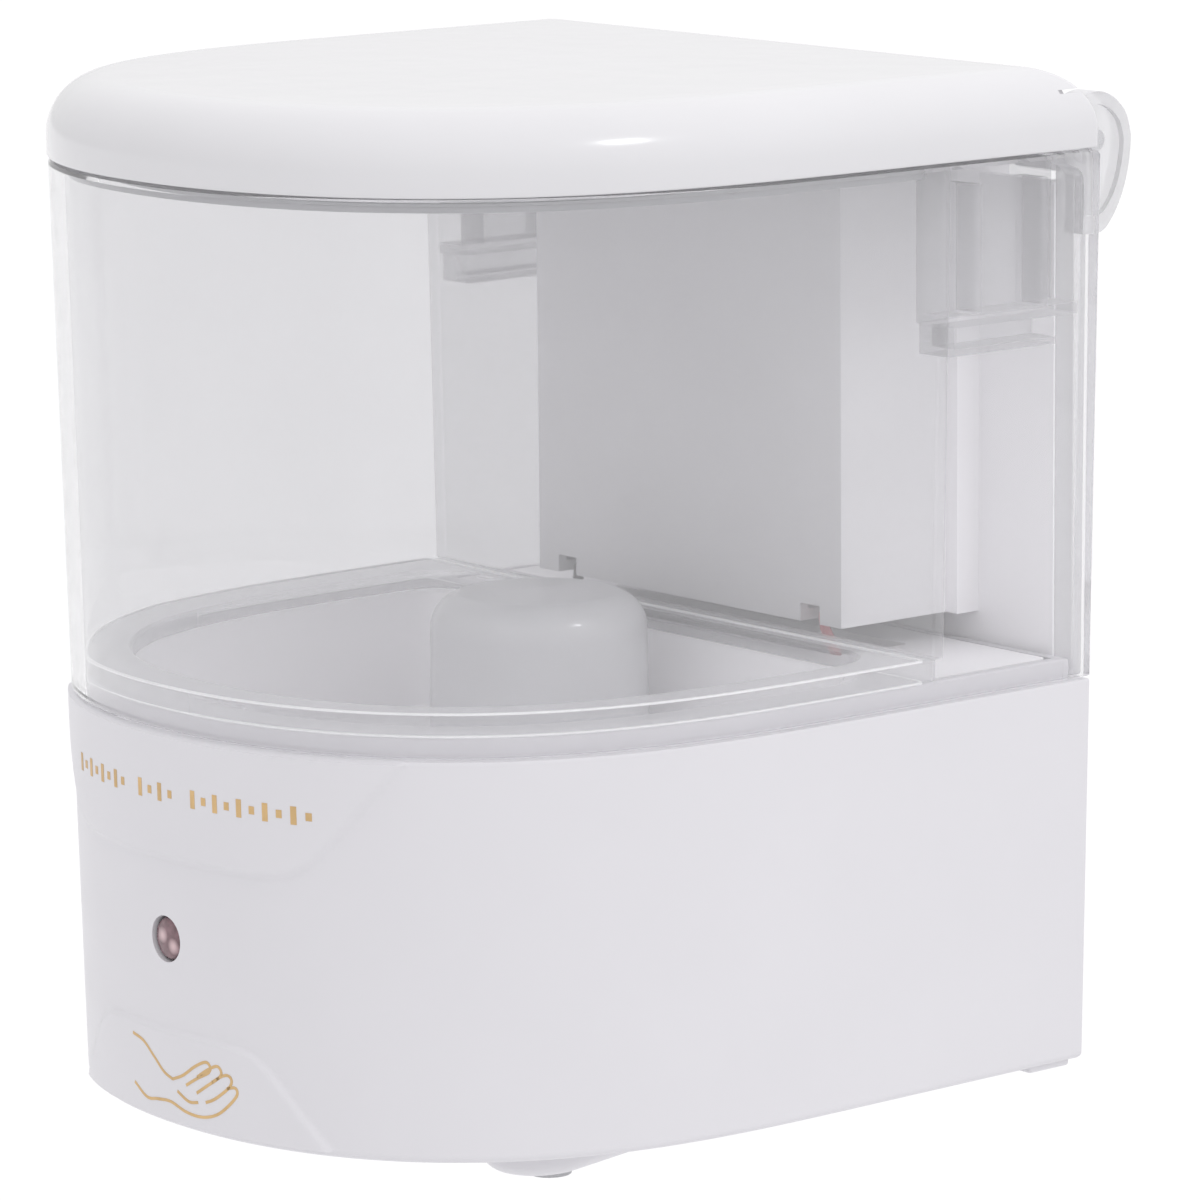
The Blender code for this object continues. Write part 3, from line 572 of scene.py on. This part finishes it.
def lid_ring(inset, back, h):
    return outline(H_LID, inset, back, LID_CORNER, at=h)


def lid_shell():
    """The lid's shell: up its rounded shoulder and back down inside, with its skirt and knuckles."""
    start = H_TOP - LID_ROUND
    edge = [(LID_WALL, H_LID), (0.35, H_LID)]
    edge += [(0.15 + a, b) for a, b in arc((0.2, H_LID + 0.35), 0.35, 250, 180, 3)]
    rings = [lid_ring(i - LID_OVERHANG if i < LID_WALL else i, max(i, 0.0), h) for i, h in edge]
    rings.append(lid_ring(-LID_OVERHANG, 0.0, start))
    for a in range(5, 86, 5):
        t = math.radians(a)
        into = LID_ROUND * (1 - math.cos(t))
        h = start + LID_ROUND * math.sin(t) - LID_CROWN * a / 90
        rings.append(lid_ring(into - LID_OVERHANG, into, h))
    for into, drop in ((LID_ROUND, LID_CROWN), (12.0, 0.10), (20.0, 0.04), (30.0, 0.0)):
        rings.append(lid_ring(into - LID_OVERHANG, into, H_TOP - drop))
    top = len(rings) - 1
    bend = LID_ROUND - LID_WALL
    rings.append(lid_ring(30.0, 30.0, H_TOP - LID_WALL))
    for a in range(90, -1, -15):
        t = math.radians(a)
        into = LID_WALL + bend * (1 - math.cos(t))
        rings.append(lid_ring(into, into, start + bend * math.sin(t)))
    count = len(rings[0])
    faces = []
    for a in range(len(rings)):
        b = (a + 1) % len(rings)
        if a == top:
            continue
        for i in range(count):
            j = (i + 1) % count
            faces.append((a * count + i, a * count + j, b * count + j, b * count + i))
    faces.append(tuple(top * count + i for i in range(count)))
    faces.append(tuple((top + 1) * count + i for i in range(count)))
    body = mesh_object("lid_shell", [tuple(p) for ring in rings for p in ring], faces)
    for side in (-1, 1):
        notch = mirrored(side, EAR_X[0] - 0.4, EAR_X[1] + 0.35)
        combine(body, "DIFFERENCE", block("ear_notch", notch, (-9.0, 6.4), (125.0, 138.2)))
    skirt = loft("lid_skirt", [
        outline(H_LID, 4.0, 30.6, 3.0, at=129.0), outline(H_LID, 4.0, 30.6, 3.0, at=H_TOP - 1.5),
        outline(H_LID, 5.6, 32.2, 3.0, at=H_TOP - 1.5), outline(H_LID, 5.6, 32.2, 3.0, at=129.0),
    ], closed=True)
    join(body, skirt, *[knuckle(side) for side in (-1, 1)])
    return dress(body, LID_WHITE, "lid", "lid_white", "lid")


KNUCKLE_PROFILE = [(1.6, 126.4)] + arc((HINGE_V, HINGE_H), 5.0, 270, 120, 18) + [(0.5, 136.4), (1.6, 136.6)]


def knuckle(side):
    return combine(plate("knuckle", KNUCKLE_PROFILE, mirrored(side, *KNUCKLE_X)), "DIFFERENCE", hinge_bore())


def hinge_bore():
    """A cutter for the hole that a hinge pin runs in."""
    return cross_rod("bore", PIN_R + PIN_CLEAR, (-60.0, 60.0), (HINGE_V, HINGE_H))


def lid_seal():
    """The sealing ring under the lid, with a small lip that stands inside the tank's top."""
    low, high = 127.9, 128.7
    rings = [outline(H_LID, 2.9, 29.3, 3.0, at=low), outline(H_LID, 2.8, 29.2, 3.0, at=low + 0.15),
             outline(H_LID, 2.8, 29.2, 3.0, at=high),
             outline(H_LID, 3.6, 30.2, 3.0, at=high + 0.9), outline(H_LID, 3.9, 30.4, 3.0, at=high + 0.9),
             outline(H_LID, 3.9, 30.4, 3.0, at=high),
             outline(H_LID, 6.4, 33.0, 3.0, at=high), outline(H_LID, 6.4, 33.0, 3.0, at=low)]
    dress(loft("lid_seal_ring", rings, closed=True), SILICONE, "lid", "silicone", "lid_seal")


# ---------------------------------------------------------------- base

def smooth_max(values, sharpness):
    return np.log(sum(np.exp(sharpness * v) for v in values)) / sharpness


def edge_distance(x, h, a, b):
    """Signed distance of the points from the line through a and b, positive on its right."""
    along = np.array(b) - np.array(a)
    along = along / np.hypot(*along)
    return (x - a[0]) * along[1] - (h - a[1]) * along[0]


PANEL_OUT = 0.55
PANEL_EDGE = 0.9


def panel_height(x, h):
    """How far the upper and the lower raised panel stand out at each point of the front."""
    x = np.abs(x)
    upper = smooth_max([37.7 - h, edge_distance(x, h, (25.4, 37.7), (38.0, 54.9))], 0.5)
    lower = smooth_max([h - 13.6, edge_distance(x, h, (28.0, 0.9), (17.3, 13.6))], 0.7)
    near = np.minimum(upper, lower)
    step = np.clip(0.5 - near / PANEL_EDGE, 0.0, 1.0)
    return PANEL_OUT * step * step * (3 - 2 * step)


def raised(h, count):
    """The base's outline at height h, pushed out where a panel stands."""
    ring = outline(h, 0.0, count=count)
    out = outline(h, -1.0, count=count)
    share = panel_height(ring[:, 0], ring[:, 2]) * (ring[:, 1] > STRAIGHT)
    return ring + (out - ring) * share[:, None]


def base_shell():
    """The white base with its raised panels, the tank's collar, screw posts, hook slots and feet."""
    bottom = [(0.0, WALL, WALL), (0.0, 0.95, 0.6), (0.12, 0.55, 0.3), (0.4, 0.22, 0.1), (0.7, 0.06, 0.0)]
    collar = [(H_JOINT - 0.12, 0.06, 0.05), (H_JOINT, 0.35, 0.2), (H_JOINT, 2.5, 2.5),
              (COLLAR_TOP - 0.2, 2.6, 2.6), (COLLAR_TOP, 2.8, 2.8), (COLLAR_TOP, 4.2, 4.2),
              (52.0, 4.2, 4.2), (50.5, WALL, WALL)]
    heights = np.concatenate([np.arange(0.9, 16.0, 0.3), np.arange(16.0, 35.0, 1.0),
                              np.arange(35.0, H_JOINT - 0.5, 0.4), [H_JOINT - 0.45]])
    rings = [outline(*place, count=FRONT_POINTS) for place in bottom]
    rings += [raised(h, FRONT_POINTS) for h in heights]
    rings += [outline(*place, count=FRONT_POINTS) for place in collar]
    body = loft("base_shell", rings, closed=True)
    cutters = [deep_rod("sensor_hole", SENSOR_R + 0.3, (105.0, 125.0), (0.0, SENSOR_H))]
    for x, h in HOOKS:
        cutters.append(block("hook_slot", (x - 3.6, x + 3.6), (-2.0, 3.6), (h - HOOK_LIFT - 0.5, h + 4.3)))
    for cutter in cutters:
        combine(body, "DIFFERENCE", cutter)
    for x, v in POSTS:
        post = rod("post", 4.0, (3.7, 22.0), (x, v))
        join(body, combine(post, "DIFFERENCE", rod("post_hole", 1.6, (2.0, 16.0), (x, v), 24)))
    for side in (-1, 1):
        foot = block("foot", mirrored(side, 49.5, 54.8), (1.2, 9.0), (-1.0, 1.0))
        join(body, apply_modifiers(soften(foot, 0.5)))
    return dress(body, WHITE, "dispenser", "white", "base_housing")


def front_point(x, h, out):
    """A point on the front, `out` in front of the base's plain surface."""
    xs, vs = half_outline(h, -out)
    return (x, float(np.interp(abs(x), xs[::-1], vs[::-1])), h)


def ribbon(name, path, width, out, lift=0.05):
    """A thin printed line through (x, h) points on the front."""
    path = np.array(path, float)
    way = np.gradient(path, axis=0)
    way /= np.hypot(way[:, 0], way[:, 1])[:, None]
    side = np.stack([-way[:, 1], way[:, 0]], 1) * width / 2
    rows = []
    for p, s in zip(path, side):
        rows.append([front_point(*(p + s), out - lift), front_point(*(p + s), out + lift),
                     front_point(*(p - s), out + lift), front_point(*(p - s), out - lift)])
    return loft(name, rows)


def smooth_path(points, count=24):
    """A Catmull-Rom curve through the points."""
    points = np.array(points, float)
    ends = np.concatenate([[2 * points[0] - points[1]], points, [2 * points[-1] - points[-2]]])
    made = []
    for i in range(len(points) - 1):
        a, b, c, d = ends[i:i + 4]
        for t in np.linspace(0.0, 1.0, count, endpoint=i == len(points) - 2):
            made.append(0.5 * (2 * b + (c - a) * t + (2 * a - 5 * b + 4 * c - d) * t ** 2
                               + (3 * b - a - 3 * c + d) * t ** 3))
    return made


HAND_LINES = [
    [(-8.4, 11.6), (-5.6, 11.0), (-3.2, 9.4), (-0.8, 7.6), (1.2, 6.9)],
    [(1.2, 6.9), (3.6, 7.9), (6.2, 9.6), (8.4, 10.6), (9.3, 10.1), (8.9, 9.2), (6.6, 8.0), (4.2, 6.6)],
    [(6.6, 8.2), (8.8, 9.6), (10.6, 10.4), (11.4, 9.8), (11.0, 8.9), (8.4, 7.2), (6.4, 5.9)],
    [(9.6, 8.0), (11.6, 9.2), (12.8, 9.4), (13.3, 8.7), (12.6, 7.6), (10.0, 5.7), (8.2, 4.9)],
    [(12.4, 7.6), (13.9, 7.9), (14.2, 7.0), (12.8, 5.4), (10.4, 3.6), (7.4, 2.7), (4.0, 2.8), (0.6, 3.6),
     (-2.4, 3.4), (-5.2, 3.1), (-8.4, 4.6)],
    [(2.2, 5.4), (4.6, 4.4), (6.6, 4.6)],
]
MARK_GROUPS = [(-24.0, -7.6), (-5.2, 4.0), (6.6, 28.0)]
MARK_PITCH = 2.1
MARK_H = 47.0


def gold_print():
    """A plain line drawing of an open hand, and a band of short marks that stands for a line of print."""
    lines = [ribbon("line", smooth_path(points, 10), 0.42, PANEL_OUT) for points in HAND_LINES]
    print_hand = join(lines[0], *lines[1:])
    print_hand.name = "palm_pictogram"
    dress(print_hand, GOLD, "dispenser", "brass")
    marks = []
    for start, stop in MARK_GROUPS:
        count = round((stop - start) / MARK_PITCH)
        for i in range(count):
            x = start + (stop - start) * (i + 0.5) / count
            tall = 1.25 if i % 2 == 0 else 0.55
            upright = [(x, MARK_H - tall), (x, MARK_H), (x, MARK_H + tall)]
            marks.append(ribbon("mark", upright, 0.85, PANEL_OUT))
    band = join(marks[0], *marks[1:])
    band.name = "gold_dash_band"
    dress(band, GOLD, "dispenser", "brass")


def sensor_lens():
    face = float(half_outline(SENSOR_H)[1][-1])
    profile = [(0.001, -0.25), (1.2, -0.28), (2.2, -0.36), (2.75, -0.5), (SENSOR_R, -0.75), (SENSOR_R, -2.6)]
    rings = []
    for r, v in profile:
        rings.append([(p[0], face + v, p[1]) for p in circle(r, 64, (0.0, SENSOR_H), 0.0)])
    dress(loft("sensor_lens", rings), LENS, "dispenser", "lens", "sensor_window")


def stadium(h, x, v, count=32, slope=0.0, taper=0.0):
    """A ring with straight sides and round ends, x its half width and v its two ends."""
    r = x - taper
    front, rear = v[1] - x, v[0] + x
    points = []
    for i in range(count + 1):
        a = math.pi * i / count
        points.append((r * math.cos(a), front + r * math.sin(a)))
    for i in range(count + 1):
        a = math.pi + math.pi * i / count
        points.append((r * math.cos(a), rear + r * math.sin(a)))
    return [(a, b, h + slope * (v[1] - b)) for a, b in points]


def shroud():
    """The hollow cover under the base that the soap comes out of."""
    rings = [stadium(4.6, SHROUD_X, SHROUD_V), stadium(-6.0, SHROUD_X, SHROUD_V)]
    for a in range(0, 91, 15):
        t = math.radians(a)
        rings.append(stadium(SHROUD_LOW - SHROUD_ROUND * math.sin(t), SHROUD_X, SHROUD_V, slope=SHROUD_SLOPE,
                             taper=SHROUD_ROUND * (1 - math.cos(t))))
    body = loft("nozzle_cover", rings)
    hollow = loft("hollow", [stadium(6.0, SHROUD_X, SHROUD_V, taper=1.6),
                             stadium(-13.6, SHROUD_X, SHROUD_V, slope=SHROUD_SLOPE, taper=1.6)])
    combine(body, "DIFFERENCE", hollow)
    combine(body, "DIFFERENCE", rod("nozzle_hole", 4.2, (-22.0, -8.0), (0.0, NOZZLE_V)))
    dress(body, WHITE, "dispenser", "white", "nozzle_shroud")


# ---------------------------------------------------------------- tank, sump and dome

EAR_PROFILE = [
    (2.2, 118.0), (-1.7, 117.9), (-4.0, 119.8), (-5.9, 123.0), (-7.0, 126.4), (-7.5, 129.7), (-7.4, 131.8),
    (-6.4, 134.4), (-4.2, 136.5), (-1.4, 137.5), (1.5, 137.0), (3.9, 135.4), (5.4, 133.2), (5.85, 130.8),
    (5.2, 128.2), (2.2, 126.0),
]
EAR_DISH = 0.78
EAR_DISH_DEPTH = 0.9


def ear(side):
    """The rounded hinge ear, with a raised rim round its outer face."""
    outer = smooth_path(EAR_PROFILE + EAR_PROFILE[:1], 5)[:-1]
    body = plate("ear", [tuple(p) for p in outer], mirrored(side, *EAR_X))
    centre = np.mean(outer, axis=0)
    inner = [tuple(centre + (p - centre) * EAR_DISH) for p in outer]
    dish = plate("dish", inner, mirrored(side, EAR_X[1] - EAR_DISH_DEPTH, EAR_X[1] + 2))
    return combine(body, "DIFFERENCE", dish)


def tank_shell():
    """The tank's clear outer wall, open at the back between its two upright rims."""
    low, high = H_JOINT + GAP, H_LID - 0.3
    rings = [outline(low, 0.25, 0.2), outline(low + 0.2), outline(high - 0.7), outline(high - 0.2, 0.25, 0.2),
             outline(high, 0.8, 0.6), outline(high, CLEAR_WALL, CLEAR_WALL),
             outline(low, CLEAR_WALL, CLEAR_WALL)]
    body = loft("tank_shell", rings, closed=True)
    combine(body, "DIFFERENCE", block("rear_window", (-RIM_X, RIM_X), (-2.0, 4.0), (50.0, 140.0)))
    return dress(body, CLEAR, "dispenser", "clear", "tank", angle=25)


def tank_rims():
    """The thick upright rims at the tank's back, one on each side of its rear opening."""
    rims = []
    for side in (-1, 1):
        across = mirrored(side, WINDOW_X, RIM_X - 0.1)
        rim = block("rim", across, (0.2, CLEAR_WALL), (H_JOINT + GAP + 0.1, H_LID - 0.6))
        rims.append(apply_modifiers(soften(rim, 0.4)))
    body = join(*rims)
    body.name = "tank_rear_rims"
    dress(body, THICK_MILKY, "dispenser", "clear")


def tank_flange():
    """The shelf round the tank's foot, which seals on the base's collar."""
    low, high = H_FLANGE, H_FLANGE + FLANGE_T
    edge = CLEAR_WALL + 0.05
    body = loft("tank_flange", [
        outline(low, edge, 27.0, 2.0, at=low), outline(low, edge, 27.0, 2.0, at=high),
        outline(low, FLANGE_IN - 0.5, 31.8, 8.0, at=high), outline(low, FLANGE_IN, 32.2, 8.0, at=high - 0.5),
        outline(low, FLANGE_IN, 32.2, 8.0, at=low + 0.3), outline(low, FLANGE_IN - 0.3, 32.0, 8.0, at=low),
    ], closed=True)
    dress(body, MILKY, "dispenser", "clear")


def flange_beads():
    """Two fine moulded beads inside the tank's wall, along the flange's upper and lower edges. Their pale,
    nearly opaque plastic is painted highlight: the bright lines along the clear flange's edges.
    """
    beads = []
    for h in (H_FLANGE - 0.25, H_FLANGE + FLANGE_T + 0.05):
        out, inn = CLEAR_WALL + 0.05, CLEAR_WALL + 0.4
        rings = [outline(h, out, 30.0, 1.0, at=h), outline(h, out, 30.0, 1.0, at=h + 0.28),
                 outline(h, inn, 30.35, 1.0, at=h + 0.28), outline(h, inn, 30.35, 1.0, at=h)]
        beads.append(loft("bead", rings, closed=True))
    body = join(*beads)
    body.name = "flange_beads"
    dress(body, BEAD_HIGHLIGHT, "dispenser", "clear")


def tank_rear_wall():
    """The tank's inner wall, between the soap and the battery box."""
    near, far = TANK_BACK, TANK_BACK + 2.0
    low, high = H_FLANGE + FLANGE_T + 0.1, H_LID - 0.7
    sheet = []
    for h in (low, high):
        half = WIDTH / 2 - SIDE_DRAFT * (H_LID - h) - CLEAR_WALL - 0.1
        sheet.append([(-half, near, h), (half, near, h), (half, far, h), (-half, far, h)])
    body = soften(loft("tank_rear_wall", sheet), 0.3)
    dress(body, THIN_MILKY, "dispenser", "clear")


def corner_pocket(side, name):
    """The open pocket at the top of a rear corner, with its ribs and the step under its floor."""
    inner, outer = POCKET_X
    low = POCKET_H
    body = block(name, mirrored(side, inner, inner + 1.6), (POCKET_V, 26.3), (low + 0.2, 128.2))
    floor_x = mirrored(side, inner + 0.8, outer)
    step_x = mirrored(side, inner + 0.4, outer - 0.6)
    web_x = mirrored(side, inner + 0.4, inner + 1.6)
    step_h = (low - STEP_DROP + 0.2, low + 0.6)
    combine(body, "UNION",
            block("floor", floor_x, (POCKET_V, 26.3), (low, low + 1.6)),
            *[block("rib", floor_x, (v, v + RIB_T), (low + 1.0, 126.4)) for v in RIB_V],
            block("step_front", step_x, (24.9, 26.1), step_h),
            block("step_web", web_x, (6.0, 25.4), step_h),
            block("step_base", step_x, (6.0, 26.1), (low - STEP_DROP, low - STEP_DROP + 1.0)))
    soften(body, 0.35, 2)
    dress(body, MILKY, "dispenser", "clear")


def hinge_ears():
    ears = [ear(side) for side in (-1, 1)]
    for body in ears:
        combine(body, "DIFFERENCE", hinge_bore())
    body = join(*ears)
    body.name = "hinge_ears"
    dress(body, THICK_MILKY, "dispenser", "clear", angle=30)


def sump_tray():
    """The soap well, with the white ledge round it that closes the base's top."""
    floor, top, c = SUMP_FLOOR, COLLAR_TOP, SUMP_CORNER
    well = [(floor, 16.0, 37.8, c - 1.0, floor), (floor, 14.6, 36.4, c - 0.3, floor + 0.5),
            (floor, 13.6, 35.5, c, floor + 2.0), (top - 0.5, 7.8, 31.1, c, top - 0.6),
            (top, 7.4, 30.8, c, top - 0.15), (top, 6.9, 30.3, c, top)]
    ledge = [(top, 4.6, 4.6, 1.5), (top - 1.8, 4.6, 4.6, 1.5), (top - 1.8, 6.0, 29.2, c),
             (floor - 1.8, 12.4, 34.0, c)]
    body = loft("sump_tray", [outline(*place) for place in well + ledge])
    combine(body, "DIFFERENCE", block("lead_slot", (-31.5, 31.5), (12.0, 25.2), (55.0, 60.0)))
    # Painted light: the well's white is brighter than the base's, against the shade inside the tank.
    return dress(body, BRIGHTENED_WHITE, "dispenser", "white", "sump")


def pump_dome():
    """The frosted cap over the pump's inlet, standing in the soap well."""
    wall, bend = 1.4, 5.0
    shoulder = (DOME_R - 0.2 - bend, DOME_TOP - 0.5 - bend)
    profile = [(0.0, DOME_TOP), (5.0, DOME_TOP - 0.12)] + arc(shoulder, bend, 88, 0, 16)
    profile += [(DOME_R, SUMP_FLOOR + GAP), (DOME_R - wall, SUMP_FLOOR + GAP)]
    profile += arc(shoulder, bend - wall, 0, 88, 12) + [(0.0, DOME_TOP - wall)]
    rings = [circle(max(r, 0.002), 128, (0.0, DOME_V), h) for r, h in profile]
    dress(loft("pump_dome", rings), FROSTED, "dispenser", "frosted", "pump_cap")


# ---------------------------------------------------------------- battery box

def battery_case():
    """The battery box with the rails of its sliding cover and the plate that closes the tank's back."""
    body = block("battery_case", (-BOX_X, BOX_X), (-0.3, BOX_FRONT), BOX_H)
    inner = BOX_X - BOX_WALL
    combine(body, "DIFFERENCE", block("bay", (-inner, inner), (-3.0, BOX_FRONT - BOX_WALL),
                                      (BOX_H[0] + BOX_WALL, BOX_H[1] - BOX_WALL)))
    for side in (-1, 1):
        notch = block("box_notch", mirrored(side, 24.5, 28.5), (21.0, 28.0), (60.0, 64.8))
        combine(body, "DIFFERENCE", notch)
        combine(body, "UNION", block("rail", mirrored(side, BOX_X - 0.2, BOX_X + 2.4), (-3.9, 6.0), BOX_H),
                block("rail_lip", mirrored(side, BOX_X - 1.6, BOX_X + 2.2), (-3.9, -2.7), BOX_H))
    plate_x = WINDOW_X - 0.4
    sheet = block("back_plate", (-plate_x, plate_x), PLATE_V, PLATE_H)
    combine(sheet, "DIFFERENCE", block("bay", (-inner, inner), (-3.0, 5.0),
                                       (BOX_H[0] + BOX_WALL, BOX_H[1] - BOX_WALL)))
    combine(body, "UNION", sheet)
    soften(body, 0.5)
    # Painted light: the box's white is brighter than the base's, against the shade inside the tank.
    return dress(body, BRIGHTENED_WHITE, "dispenser", "white", "battery_box")


# ---------------------------------------------------------------- stage

FLOOR_Z = -0.42
FLOOR_HALF = 30.0
SKY_LEAN = (0.22, 0.12, 0.64)
SKY_LOW, SKY_HIGH = 0.20, 1.64


def floor_material():
    n = Nodes("pale_floor")
    n.colour(n.noise(1.4, 3.0), [(0.3, (0.835, 0.835, 0.84)), (0.7, (0.845, 0.845, 0.85))])
    n.set(Roughness=0.9, Specular_IOR_Level=0.1)
    return n.material


def make_stage():
    corners = [(-1, -1), (1, -1), (1, 1), (-1, 1)]
    mesh = bpy.data.meshes.new("floor")
    mesh.from_pydata([(x * FLOOR_HALF, y * FLOOR_HALF, FLOOR_Z) for x, y in corners], [], [(0, 1, 2, 3)])
    floor = bpy.data.objects.new("floor", mesh)
    bpy.context.scene.collection.objects.link(floor)
    floor.data.materials.append(floor_material())


def make_world():
    """A soft tent of light, a little brighter above and to the right."""
    sky = bpy.data.worlds.new("studio")
    bpy.context.scene.world = sky
    sky.use_nodes = True
    tree = sky.node_tree
    place = tree.nodes.new("ShaderNodeTexCoord")
    lean = tree.nodes.new("ShaderNodeVectorMath")
    lean.operation = "DOT_PRODUCT"
    lean.inputs[1].default_value = SKY_LEAN
    tree.links.new(place.outputs["Generated"], lean.inputs[0])
    level = tree.nodes.new("ShaderNodeMapRange")
    level.inputs["From Min"].default_value = -1.0
    level.inputs["To Min"].default_value = SKY_LOW
    level.inputs["To Max"].default_value = SKY_HIGH
    tree.links.new(lean.outputs["Value"], level.inputs["Value"])
    back = tree.nodes["Background"]
    back.inputs["Color"].default_value = (1.0, 0.997, 1.0, 1.0)
    tree.links.new(level.outputs["Result"], back.inputs["Strength"])


def area_light(name, place, target, size, power):
    lamp = bpy.data.lights.new(name, "AREA")
    lamp.shape = "RECTANGLE"
    lamp.size, lamp.size_y = size
    lamp.energy = power
    obj = bpy.data.objects.new(name, lamp)
    obj.location = place
    way = Vector(target) - Vector(place)
    obj.rotation_mode = "QUATERNION"
    obj.rotation_quaternion = way.to_track_quat("-Z", "Y")
    bpy.context.scene.collection.objects.link(obj)
    return obj


CAMERA_PLACE = (0.688209, -0.618059, 0.196625)
CAMERA_AZIMUTH = 50.5216
CAMERA_ELEVATION = 10.4196
CAMERA_ROLL = -0.4981
LENS_MM = 190.649


def make_camera():
    """The photograph's view: the azimuth turns from +Y towards -X, and the elevation looks down."""
    data = bpy.data.cameras.new("camera")
    data.sensor_width = 36.0
    data.lens = LENS_MM
    data.clip_start, data.clip_end = 0.05, 100.0
    obj = bpy.data.objects.new("camera", data)
    turn = Matrix.Rotation(math.radians(CAMERA_AZIMUTH), 4, "Z")
    turn @= Matrix.Rotation(math.radians(90.0 - CAMERA_ELEVATION), 4, "X")
    turn @= Matrix.Rotation(math.radians(CAMERA_ROLL), 4, "Z")
    obj.matrix_world = Matrix.Translation(CAMERA_PLACE) @ turn
    bpy.context.scene.collection.objects.link(obj)
    bpy.context.scene.camera = obj


def make_view():
    scene = bpy.context.scene
    scene.view_settings.view_transform = "Standard"
    scene.view_settings.look = "None"


make_camera()
make_stage()
make_world()
make_view()
area_light("key", (0.66, 0.10, 0.72), (0.03, -0.09, 0.09), (0.14, 0.10), 0.8)
dress_carried_nodes()
lid_shell()
lid_seal()
base_shell()
gold_print()
sensor_lens()
shroud()
tank_shell()
tank_rims()
tank_flange()
flange_beads()
tank_rear_wall()
corner_pocket(-1, "pocket_left")
corner_pocket(1, "pocket_right")
hinge_ears()
sump_tray()
pump_dome()
battery_case()
